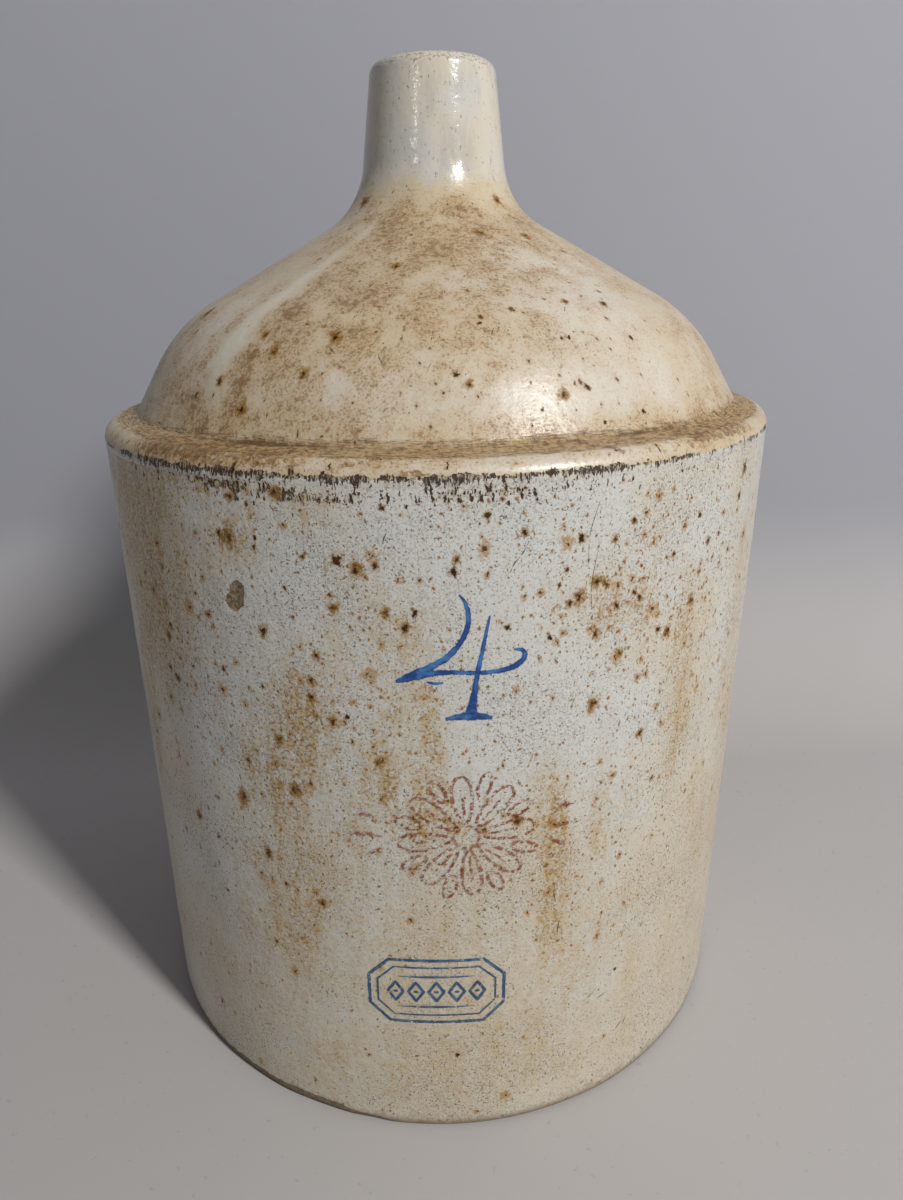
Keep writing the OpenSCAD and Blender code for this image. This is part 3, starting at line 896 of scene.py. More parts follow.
def buildDome():
    s = outline
    corners = [(rimRadius, crockHeight), arris, crease, shoulder, throat, mouth]
    line = softLine(corners, [0, s["arrisRound"], s["creaseRound"], s["domeRound"], s["throatRound"], 0])
    outer = [p for p in line if p.y <= neckSeam]
    above = [p for p in line if p.y > neckSeam][0]
    outer.append(outer[-1].lerp(above, (neckSeam - outer[-1].y) / (above.y - outer[-1].y)))
    side, slope = inwards(crease, shoulder), inwards(shoulder, throat)
    innerCrease = Vector(crease) + side
    innerThroat = Vector(throat) + slope
    innerShoulder = Vector(shoulder) + (side + slope) / (1 + side.normalized().dot(slope.normalized()))
    hole = s["boreRadius"] + s["throatStep"]
    inside = [(hole, neckSeam), (hole, innerThroat.y), innerThroat, innerShoulder, innerCrease,
              (innerCrease.x, crockHeight)]
    inner = softLine(inside, [0, 0, 0, s["domeRound"] - s["domeWall"], 0, 0], dome["roundStep"])
    inner.append(Vector((rimRadius, crockHeight)))
    points = finerLine(outer, dome["spacing"]) + finerLine(inner, dome["innerSpacing"])
    piece = turnPiece("ledge_and_dome", points, dome["segments"], domeGlazeSkin)
    places = meshVectors(piece, "co")
    normals = meshVectors(piece, "normal")
    radius = np.hypot(places[:, 0], places[:, 1])
    level = places[:, 2]
    # Where the ledge was wiped, a little less at the left, and its crease darkened with painted shade and
    # some dirt
    onLedge = softStep(crease[0] - 0.004, crease[0] + 0.001, radius)
    onLedge *= 1 - softStep(arris[1] + 0.0035, arris[1] + 0.009, level)
    beforeArris = 1 - softStep(rimRadius - 0.0065, rimRadius - 0.0025, radius)
    paler = 1 - dome["paleLeft"] * softStep(0.05, 0.12, -arcAndHeight(places)[0])
    paintField(piece, "wiped", dome["wiped"] * onLedge * beforeArris * paler)
    paintStains(piece, places)
    # A darker band along the crease: painted shade with some dirt
    inCrease = np.exp(-((radius - crease[0] - dome["creaseFrom"]) / dome["creaseWidth"]) ** 2)
    creaseShadeAndDirt = dome["creaseBase"] + dome["creaseShadeAndDirt"] * blobs(places, dome["creaseMarks"])
    paintField(piece, "crease", inCrease * (level > crockHeight) * creaseShadeAndDirt)
    # Faint dimples and the thick run of glaze, on the outside only
    dents = handNoise(places, dome["dimpleSize"], dome["dimpleSeed"]) * dome["dimple"]
    dents *= softStep(crockHeight + 0.001, crockHeight + 0.012, level)
    dents *= 1 - softStep(neckSeam - 0.012, neckSeam - 0.001, level)
    dents += dome["runDepth"] * np.clip(blobs(places, stains["run"]), 0, 1)
    sideways = (normals[:, 0] * places[:, 0] + normals[:, 1] * places[:, 1]) / np.maximum(radius, 1e-6)
    outside = softStep(-0.2, 0.4, normals[:, 2] + (radius > 0.1) * sideways)
    places += normals * (dents * outside)[:, None]
    movePlaces(piece, leanPlaces(places))
    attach(piece, "root")
    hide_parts("shoulder_top")
    return piece


domePiece = buildDome()

# Neck
neck = {"segments": 256, "spacing": 0.0009, "roundStep": 15.0, "rimFrom": 0.006, "rimTo": 0.003}


def buildNeck():
    s = outline
    corners = [crease, shoulder, throat, mouth, (s["boreRadius"], mouthHeight)]
    line = softLine(corners, [0, s["domeRound"], s["throatRound"], s["lipRound"], 0])
    outer = [p for p in line if p.y >= neckSeam]
    below = [p for p in line if p.y < neckSeam][-1]
    outer = [below.lerp(outer[0], (neckSeam - below.y) / (outer[0].y - below.y))] + outer[:-1]
    bore = [mouth, (s["boreRadius"], mouthHeight), (s["boreRadius"], neckSeam)]
    inner = softLine(bore, [0, s["boreRound"], 0], neck["roundStep"])[1:]
    points = finerLine(outer + inner, neck["spacing"])
    points += [Vector((s["boreRadius"] + s["throatStep"], neckSeam)), outer[0]]
    piece = turnPiece("neck_and_lip", points, neck["segments"], neckGlazeSkin)
    places = meshVectors(piece, "co")
    paintStains(piece, places)
    rim = softStep(mouthHeight - neck["rimFrom"], mouthHeight - neck["rimTo"], places[:, 2])
    paintField(piece, "rim", rim)
    movePlaces(piece, leanPlaces(places))
    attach(piece, "root")
    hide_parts("neck")
    return piece


neckPiece = buildNeck()

# Strap handle, pulled and pressed on at the back; its four path corners are (y, z)
handle = {
    "top": (0.0276, 0.387), "topPull": (0.05, 0.013), "low": (0.088, 0.3249), "lowPull": (0.012, 0.045),
    "widthTop": 0.038, "widthLow": 0.033, "thickness": 0.013, "squareness": 2.7, "groove": 0.0016,
    "grooveWidth": 0.42, "stations": 96, "sides": 96, "rootStart": 0.0135, "rootSpread": 0.0085,
    "rootRings": 16, "rootReach": 0.04, "rootUneven": 0.28, "rootStraight": 0.25, "sink": 0.0012,
    "softenings": 6, "ripple": 0.0005, "rippleSize": 0.02, "pathSteps": 400,
}


def strapGroup():
    # Geometry Nodes: a flat pulled strap along a path in the plane of the handle
    inputs = {"Path": "Geometry", "Stations": 96, "Sides": 96, "Width Top": 0.038, "Width Low": 0.033,
              "Thickness": 0.013, "Squareness": 2.7, "Groove": 0.0016, "Glaze": "Material"}
    tree, given, out = newGroup("pulledStrap", "GeometryNodeTree", inputs, {"Strap": "Geometry"})
    grid, x, y = sheet(given["Sides"], given["Stations"])
    around, along = x + 0.5, y + 0.5
    station = calc("ROUND", along * (given["Stations"] - 1.0))
    power = 2.0 / given["Squareness"]

    def pathPlace(step):
        return pickPlace(given["Path"], station + float(step), clamp=True)

    def rounded(wave):
        return calc("SIGN", wave) * calc("POWER", calc("ABSOLUTE", wave), power)

    ahead = vectorCalc("NORMALIZE", vectorCalc("SUBTRACT", pathPlace(1), pathPlace(-1)))
    outwards = vectorCalc("CROSS_PRODUCT", (1.0, 0.0, 0.0), ahead)
    angle = around * (2 * math.pi)
    across, upper = rounded(calc("COSINE", angle)), rounded(calc("SINE", angle))
    valley = calc("EXPONENT", calc("POWER", across / handle["grooveWidth"], 2.0) * -1.0)
    cut = valley * given["Groove"] * smoothRange(upper, 0.3, 1.0)
    wide = smoothRange(along, 0.0, 1.0, given["Width Top"], given["Width Low"])
    rise = upper * (given["Thickness"] * 0.5) - cut
    place = vectorCalc("ADD", pathPlace(0), scaled((1.0, 0.0, 0.0), across * (wide * 0.5)))
    place = vectorCalc("ADD", place, scaled(outwards, rise))
    for label, value in (("around", around), ("along", along)):
        stamp = {"Geometry": grid, "Name": label, "Value": value}
        grid = result("GeometryNodeStoreNamedAttribute", stamp, data_type="FLOAT", domain="POINT")
    strap = result("GeometryNodeSetPosition", {"Geometry": grid, "Position": place})
    finishGeometry(out["Strap"], strap, given["Glaze"])
    return tree


def readField(mesh, name):
    values = np.empty(len(mesh.vertices), dtype=np.float32)
    mesh.attributes[name].data.foreach_get("value", values)
    return values


def wallTree(pieces):
    # The pieces' outsides to cast rays at
    places, faces = [], []
    for piece in pieces:
        start = len(places)
        places += [v.co.copy() for v in piece.data.vertices]
        faces += [[start + i for i in f.vertices] for f in piece.data.polygons]
    return BVHTree.FromPolygons(places, faces)


def bezierPlace(corners, t):
    a, b, c, d = corners
    return a * (1 - t) ** 3 + b * 3 * t * (1 - t) ** 2 + c * 3 * t * t * (1 - t) + d * t ** 3


def rootRings(wall, endRing, inner, seed):
    # Carries the strap's end ring down to the wall, flaring into a pressed foot
    h = handle
    centre = Vector(endRing.mean(axis=0))
    ahead = Vector(endRing.mean(axis=0) - inner.mean(axis=0)).normalized()
    hub = wall.ray_cast(centre, ahead)[0]
    spots = [Vector(place) for place in endRing]
    feet = []
    for spot in spots:
        hit = wall.ray_cast(spot, ahead)[0]
        if hit is None or (hit - spot).length > h["rootReach"]:
            hit = wall.find_nearest(spot + ahead * (hub - centre).length)[0]
        feet.append(hit)
    out = []
    for k in range(1, h["rootRings"] + 1):
        share = k / h["rootRings"]
        ring = []
        for i, (spot, foot) in enumerate(zip(spots, feet)):
            back = spot - foot
            turn = 2 * math.pi * i / len(feet)
            uneven = noise.noise(Vector((math.cos(turn), math.sin(turn), seed)))
            reach = h["rootSpread"] * (1 + h["rootUneven"] * uneven)
            free = min(reach, back.length * 0.95)
            if share < h["rootStraight"]:
                ring.append(spot.lerp(foot + back.normalized() * free, share / h["rootStraight"]))
                continue
            swing = (1 - (share - h["rootStraight"]) / (1 - h["rootStraight"])) * math.pi / 2
            normal = wall.find_nearest(foot)[1]
            aside = foot - hub
            aside -= normal * aside.dot(normal)
            base = wall.find_nearest(foot + aside.normalized() * reach * (1 - math.sin(swing)))[0]
            ring.append(base + back.normalized() * free * (1 - math.cos(swing)))
        out.append(np.array([list(p) for p in ring]))
    sunk = []
    for place in out[-1]:
        normal = wall.find_nearest(Vector(place))[1]
        sunk.append(list(Vector(place).lerp(hub, 0.12) - normal * h["sink"]))
    out.append(np.array(sunk))
    return out, hub - wall.find_nearest(hub)[1] * h["sink"] * 2


def pulledStrap():
    # The strap's rings from its top to its low end, without the roots
    h = handle
    top, low = Vector(h["top"]), Vector(h["low"])
    corners = [top, top + Vector(h["topPull"]), low + Vector(h["lowPull"]), low]
    fine = [bezierPlace(corners, t / h["pathSteps"]) for t in range(h["pathSteps"] + 1)]
    lengths = np.concatenate([[0], np.cumsum([(b - a).length for a, b in zip(fine[:-1], fine[1:])])])
    marks = np.linspace(h["rootStart"], lengths[-1] - h["rootStart"], h["stations"])
    path = np.array([list(p) for p in fine])
    line = [(0.0, *(np.interp(mark, lengths, path[:, k]) for k in (0, 1))) for mark in marks]
    inputs = {"Stations": h["stations"], "Sides": h["sides"], "Width Top": h["widthTop"],
              "Width Low": h["widthLow"], "Thickness": h["thickness"], "Squareness": h["squareness"],
              "Groove": h["groove"], "Glaze": handleGlazeSkin}
    strap = shapeLine("strap", line, strapGroup(), inputs)
    order = np.lexsort((readField(strap, "around"), readField(strap, "along").round(5)))
    places = np.array([list(v.co) for v in strap.vertices])[order]
    bpy.data.meshes.remove(strap)
    return places.reshape(h["stations"], h["sides"] + 1, 3)[:, :-1]


def meshPiece(name, verts, faces, skin):
    mesh = bpy.data.meshes.new(name)
    mesh.from_pydata(verts, [], faces)
    mesh.shade_smooth()
    mesh.materials.append(skin)
    return plainObject(name, mesh)


def softenRoots(mesh, sides, rings, rootCount):
    # Smooths the strap into its roots, and leaves their outermost rings where they lie
    shaped = bmesh.new()
    shaped.from_mesh(mesh)
    last = sides * rings
    rootSkin = [v for v in shaped.verts
                if sides * 2 <= v.index < sides * (rootCount + 3)
                or sides * (rings - rootCount - 3) <= v.index < last - sides * 2]
    for _ in range(handle["softenings"]):
        bmesh.ops.smooth_vert(shaped, verts=rootSkin, factor=0.5,
                              use_axis_x=True, use_axis_y=True, use_axis_z=True)
    bmesh.ops.recalc_face_normals(shaped, faces=shaped.faces)
    shaped.to_mesh(mesh)
    shaped.free()
    mesh.shade_smooth()


def buildHandle():
    rings = pulledStrap()
    wall = wallTree([domePiece, neckPiece])
    upper, upperHub = rootRings(wall, rings[0], rings[1], 1.5)
    lower, lowerHub = rootRings(wall, rings[-1], rings[-2], 8.5)
    stack = upper[::-1] + list(rings) + lower
    verts = np.concatenate(stack + [np.array([list(upperHub), list(lowerHub)])])
    n, m = handle["sides"], len(stack)
    faces = [(r * n + i, r * n + (i + 1) % n, (r + 1) * n + (i + 1) % n, (r + 1) * n + i)
             for r in range(m - 1) for i in range(n)]
    faces += [(n * m, (i + 1) % n, i) for i in range(n)]
    faces += [(n * m + 1, (m - 1) * n + i, (m - 1) * n + (i + 1) % n) for i in range(n)]
    piece = meshPiece("pulled_handle", verts.tolist(), faces, handleGlazeSkin)
    softenRoots(piece.data, n, m, len(upper))
    places = meshVectors(piece, "co")
    ripple = handNoise(places, handle["rippleSize"], 2.0) * handle["ripple"]
    movePlaces(piece, places + meshVectors(piece, "normal") * ripple[:, None])
    # How near each point is to the strap's thin edges, where the glaze runs off
    turn = np.tile(np.arange(n) / n * 2 * math.pi, m)
    paintField(piece, "edge", np.append(np.abs(np.cos(turn)) ** 6, [0, 0]))
    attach(piece, "root")
    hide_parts("strap_handle", "handle_upper_root", "handle_lower_root")
    return piece


buildHandle()
print("stage: handle pulled")

for nodeName in ("shoulder_luting_ring", "neck_luting_ring"):
    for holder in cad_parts[nodeName].material_slots:
        holder.material = lutingSlipSkin

# Painted marks: brush strokes laid on the glazed crock, in mm round from the front and mm up
numeral = {
    "diagonal": [
        (6.4, 234.2, 0.5), (8.4, 231.2, 1.5), (9.4, 226.6, 2.0), (8.6, 221.4, 2.1), (5.8, 216.2, 2.3),
        (1.4, 211.8, 2.7), (-4.2, 208.4, 3.2), (-9.8, 205.8, 3.2), (-14.8, 203.6, 1.0),
    ],
    "bar": [
        (-14.8, 203.4, 1.0), (-9.0, 205.0, 2.6), (-3.0, 206.6, 2.6), (4.0, 207.0, 2.0), (11.5, 206.6, 1.8),
        (19.0, 206.8, 2.0), (24.6, 208.0, 2.5), (28.2, 210.8, 2.5), (27.6, 213.6, 1.7), (24.6, 214.2, 0.8),
    ],
    "stem": [
        (16.4, 226.6, 0.7), (15.6, 223.0, 1.2), (14.2, 215.4, 1.6), (12.6, 207.4, 2.0), (11.4, 199.4, 2.6),
        (10.6, 193.4, 4.4), (10.2, 190.6, 7.6),
    ],
    "foot": [
        (1.6, 189.6, 1.2), (5.6, 190.4, 2.6), (10.0, 190.4, 3.4), (14.0, 190.2, 2.8), (17.6, 189.4, 1.2),
    ],
    "drip": [
        (-4.6, 203.6, 0.6), (-2.0, 203.0, 1.3), (1.0, 203.2, 0.6),
    ],
}
rosette = {
    "centre": (9.0, 142.0), "petals": 8, "petalLength": 25.0, "petalWidth": 9.0, "petalGap": 1.2,
    "heart": 4.6, "ring": 29.5, "line": 1.5, "sprig": 14.0, "tilt": 6.0,
}
cartouche = {
    "centre": (-3.0, 71.5), "width": 53.0, "height": 30.0, "chamfer": 8.0, "line": 1.6, "inset": 3.4,
    "diamonds": 5, "diamondStep": 8.0, "diamondWide": 3.0, "diamondTall": 4.6, "thin": 0.95, "barLevel": 7.4,
}
# How far each kind of mark stands off the wall, and how much more each next stroke does, in metres
lifts = {"brush": 0.00012, "iron": 0.00007, "scratch": 0.00009, "stroke": 0.000012}
outsideReach = 0.3


def smoothStroke(points, spacing=0.7):
    # A stroke's given points (u, v, width) made into closely spaced ones along a Catmull-Rom curve
    spots = [Vector(p) for p in points]
    ends = [spots[0] * 2 - spots[1]] + spots + [spots[-1] * 2 - spots[-2]]
    out = []
    for i in range(1, len(ends) - 2):
        a, b, c, d = ends[i - 1:i + 3]
        count = max(2, math.ceil((c - b).to_2d().length / spacing))
        square, cube = 2 * a - 5 * b + 4 * c - d, 3 * b - a - 3 * c + d
        for t in (k / count for k in range(count)):
            out.append(0.5 * (2 * b + (c - a) * t + square * t * t + cube * t ** 3))
    return out + [spots[-1]], False


def closedLine(corners, width, spacing=0.8):
    points = []
    for a, b in zip(corners, corners[1:] + corners[:1]):
        count = max(1, math.ceil((Vector(b) - Vector(a)).length / spacing))
        points += [Vector(a).lerp(Vector(b), k / count).to_3d() for k in range(count)]
    for p in points:
        p.z = width
    return points, True


def ribbon(points, closed):
    # A flat ribbon along (u, v, width) points: its vertices with how far across each is, and its faces
    lanes = (-1.0, -0.72, -0.36, 0.0, 0.36, 0.72, 1.0)
    narrowest = 0.15
    count, wide = len(points), len(lanes)
    verts, faces = [], []
    for i, spot in enumerate(points):
        before = points[(i - 1) % count] if closed or i else spot
        after = points[(i + 1) % count] if closed or i < count - 1 else spot
        way = (after - before).to_2d().normalized()
        side = Vector((way.y, -way.x))
        for lane in lanes:
            place = spot.to_2d() + side * lane * max(spot.z, narrowest) / 2
            verts.append((place.x, place.y, lane))
    for i in range(count if closed else count - 1):
        j = (i + 1) % count
        faces += [(i * wide + k, j * wide + k, j * wide + k + 1, i * wide + k + 1) for k in range(wide - 1)]
    return verts, faces


def wallPlace(wall, turn, level):
    # Where a ray from outside meets the wall, at an angle from the front and a height in mm
    away = Vector((math.sin(turn), -math.cos(turn), 0.0))
    return wall.ray_cast(away * outsideReach + Vector((0, 0, level / 1000)), -away)[:2]


def layMarks(name, strokes, skin, lift, wall):
    # Lays ribbons on the jug's outside and makes one piece of them
    verts, lanes, faces = [], [], []
    for points, closed in strokes:
        spots, quads = ribbon(points, closed)
        start = len(verts)
        for u, v, lane in spots:
            hit, normal = wallPlace(wall, u / 1000 / rimRadius, v)
            verts.append(hit + normal * lift)
            lanes.append(abs(lane))
        faces += [[start + i for i in quad] for quad in quads]
        lift += lifts["stroke"]
    piece = meshPiece(name, verts, faces, skin)
    paintField(piece, "lane", np.array(lanes))
    first = piece.data.polygons[0]
    if first.normal.dot(first.center * Vector((1, 1, 0))) <= 0:
        piece.data.flip_normals()
    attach(piece, "root")


def brushSkin(name, deep, thin, cover, worn, wearScale):
    # Brushed colour under the glaze: thin and broken at its edges
    look = looks["crock"]
    material, skin, place = newMaterial(name, look["gloss"])
    lane = painted("lane")
    pool = smoothRange(noiseField(place, 190.0) + lane * 0.12, 0.38, 0.62)
    feed(skin.inputs["Base Color"], mixColor(pool, thin, deep))
    edge = 1.0 + (noiseField(place, 900.0, 4.0, 0.6) - 0.5) * 1.1 - lane
    wear = smoothRange(noiseField(place, wearScale, 4.0, 0.7), worn, worn + 0.12)
    feed(skin.inputs["Alpha"], smoothRange(edge, 0.05, 0.3) * cover * wear)
    raiseSkin(skin, skinHeight(place, look), look["depth"])
    return material


def numeralStrokes():
    return [smoothStroke(numeral[k]) for k in ("diagonal", "bar", "stem", "foot", "drip")]


def rosetteStrokes():
    r = rosette
    cx, cy = r["centre"]
    strokes = []

    def turnedSpot(u, v, angle):
        sine, cosine = math.sin(angle), math.cos(angle)
        return (cx + u * cosine - v * sine, cy + u * sine + v * cosine)

    def petal(t, angle):
        out = (1 - math.cos(t)) / 2
        root = r["heart"] + r["petalGap"]
        aside = math.sin(t) * r["petalWidth"] * (0.55 + 0.45 * out) / 2
        return turnedSpot(root + (r["petalLength"] - root) * out, aside, angle)

    for p in range(r["petals"]):
        angle = math.radians(r["tilt"] + 360 / r["petals"] * p)
        strokes.append(closedLine([petal(2 * math.pi * k / 48, angle) for k in range(48)], r["line"]))
        vein = [turnedSpot(r["heart"] + 4 + k, 0, angle) for k in range(0, 11, 5)]
        strokes.append(smoothStroke([(u, v, r["line"] * 0.8) for u, v in vein]))
        gap = angle + math.pi / r["petals"]
        tip = [turnedSpot(r["petalLength"] - 3 + 5 * math.cos(t), 2.2 * math.sin(t), gap)
               for t in np.linspace(0, 2 * math.pi, 14)[:-1]]
        strokes.append(closedLine(tip, r["line"]))
    heart = [turnedSpot(r["heart"], 0, 2 * math.pi * k / 24) for k in range(24)]
    strokes.append(closedLine(heart, r["line"]))
    for side in (-1, 1):
        for k in (-1, 0, 1):
            start = (cx + side * (r["ring"] + 1), cy + k * 4.5)
            end = (cx + side * (r["ring"] + r["sprig"] - abs(k) * 3), cy + k * 8.5)
            middle = ((start[0] + end[0]) / 2, (start[1] + end[1]) / 2 + k * 1.5 + 0.8)
            strokes.append(smoothStroke([(*start, 0.4), (*middle, r["line"] * 1.3), (*end, 0.3)]))
    return strokes


def cartoucheStrokes():
    c = cartouche
    cx, cy = c["centre"]

    def plaque(inset, chamfer):
        w, h = (c["width"] - 2 * inset) / 2, (c["height"] - 2 * inset) / 2
        return [(cx - w + chamfer, cy - h), (cx + w - chamfer, cy - h), (cx + w, cy - h + chamfer),
                (cx + w, cy + h - chamfer), (cx + w - chamfer, cy + h), (cx - w + chamfer, cy + h),
                (cx - w, cy + h - chamfer), (cx - w, cy - h + chamfer)]

    strokes = [closedLine(plaque(0, c["chamfer"]), c["line"])]
    strokes.append(closedLine(plaque(c["inset"], c["chamfer"] * 0.8), c["thin"]))
    wide, tall = c["diamondWide"], c["diamondTall"]
    for k in range(c["diamonds"]):
        u = cx + (k - (c["diamonds"] - 1) / 2) * c["diamondStep"]
        corners = [(u - wide, cy), (u, cy - tall), (u + wide, cy), (u, cy + tall)]
        strokes.append(closedLine(corners, c["line"] * 0.9))
        strokes.append(smoothStroke([(u - 0.9, cy, 0.9), (u, cy, 1.5), (u + 0.9, cy, 0.9)]))
    ends = c["width"] / 2 - c["inset"] - c["chamfer"]
    for v in (cy - c["barLevel"], cy + c["barLevel"]):
        strokes.append(smoothStroke([(cx - ends, v, 0.3), (cx, v, c["thin"] * 1.4), (cx + ends, v, 0.3)]))
    return strokes


crockWall = wallTree([crockPiece])
cobaltSkin = brushSkin("cobaltBrush", tones["numeralDeep"], tones["numeralThin"], 0.95, 0.27, 330.0)
stampSkin = brushSkin("stampedBlue", tones["stampDeep"], tones["stampThin"], 0.9, 0.33, 330.0)
ironRedSkin = brushSkin("wornIronRed", tones["rosetteDeep"], tones["rosetteThin"], 0.78, 0.44, 620.0)
layMarks("painted_numeral", numeralStrokes(), cobaltSkin, lifts["brush"], crockWall)
layMarks("stamped_cartouche", cartoucheStrokes(), stampSkin, lifts["brush"], crockWall)
layMarks("worn_rosette", rosetteStrokes(), ironRedSkin, lifts["brush"], crockWall)

# Scratches: degrees round and mm up where each starts, length in mm, lean in degrees and width in mm
scratches = {
    "dome": [
        (-0.8, 307, 6.0, 84, 0.35), (-1.4, 301, 3.0, 60, 0.4), (-8.6, 303, 3.6, 130, 0.35),
        (-5.6, 310, 2.6, 110, 0.3), (9.6, 311, 3.4, 50, 0.4), (10.8, 312, 3.8, 55, 0.35),
        (12.6, 312, 3.0, 40, 0.35), (11.6, 309, 2.0, 140, 0.3), (-17, 306, 4.0, 150, 0.3),
        (26, 318, 3.0, 30, 0.35), (33, 322, 2.6, 20, 0.4), (5.5, 331, 4.6, 115, 0.3),
        (160, 310, 6.0, 70, 0.35), (175, 318, 4.0, 120, 0.35), (-120, 306, 5.0, 60, 0.35),
        (95, 312, 5.0, 100, 0.35),
    ],
    "crock": [
        (21.3, 262, 21.0, 262, 0.35), (11.7, 251, 9.0, 235, 0.45), (10.4, 246, 6.0, 240, 0.4),
        (21.6, 247, 26.0, 268, 0.25), (24, 54, 7.0, 35, 0.4), (26.5, 52, 5.0, 20, 0.4),
        (31, 29, 6.0, 40, 0.4), (33, 30, 4.0, 70, 0.4), (17.6, 108, 8.0, 96, 0.5), (18.2, 92, 7.0, 84, 0.5),
        (-6.5, 255, 4.0, 250, 0.4), (-48, 150, 7.0, 80, 0.4), (-50, 168, 6.0, 95, 0.4),
        (45, 200, 5.0, 88, 0.35), (150, 190, 18.0, 262, 0.35), (-140, 140, 16.0, 280, 0.35),
        (100, 90, 14.0, 250, 0.35), (200, 70, 12.0, 20, 0.35),
    ],
}


def scratchStrokes(marks):
    strokes = []
    for turn, level, length, lean, width in marks:
        u = math.radians(turn) * rimRadius * 1000
        du, dv = length * math.cos(math.radians(lean)), length * math.sin(math.radians(lean))
        bend = 0.06 * length * (1 if lean % 2 else -1)
        middle = (u + du / 2 + bend, level + dv / 2, width)
        strokes.append(smoothStroke([(u, level, width * 0.3), middle, (u + du, level + dv, width * 0.3)]))
    return strokes


def scratchSkin():
    material, skin, place = newMaterial("scratchDirt", 0.8)
    worn = smoothRange(noiseField(place, 620.0, 3.0, 0.6), 0.36, 0.52)
    grain = noiseField(place, 300.0, 2.0)
    color = mixColor(smoothRange(grain, 0.3, 0.7), tones["scratchDeep"], tones["scratchPale"])
    feed(skin.inputs["Base Color"], color)
    feed(skin.inputs["Alpha"], worn * 0.75)
    raiseSkin(skin, grain, 0.0002)
    return material


def ironSkin():
    # A burnt core with a ragged golden halo; both fade by lane, the distance from the spot's middle
    material, skin, place = newMaterial("ironSpotSkin", 0.5)
    skin.inputs["Specular IOR Level"].default_value = 0.3
    lane, heart = painted("lane"), painted("heart")
    crumb = noiseField(place, 700.0, 5.0, 0.7) - 0.5
    fine = noiseField(place, 1300.0, 3.0, 0.6) - 0.5
    rough = lane + (crumb * 1.5 + fine * 0.5)
    core = smoothRange(rough, heart * 0.66 + 0.1, heart * 0.66 - 0.04)
    toast = mixColor(smoothRange(rough, 0.05, 0.5), tones["toastDeep"], tones["toastPale"])
    burnt = smoothRange(noiseField(place, 420.0, 4.0, 0.65), 0.44, 0.62)
    middle = mixColor(burnt, tones["heartDeep"], tones["heartPale"])
    feed(skin.inputs["Base Color"], mixColor(core, toast, middle))
    halo = smoothRange(rough, 0.8, 0.15) * smoothRange(lane, 1.0, 0.6)
    feed(skin.inputs["Alpha"], larger(core * 0.94, halo * 0.8))
    look = looks["crock"]
    raiseSkin(skin, skinHeight(place, look) - core * 0.5, look["depth"])
    return material


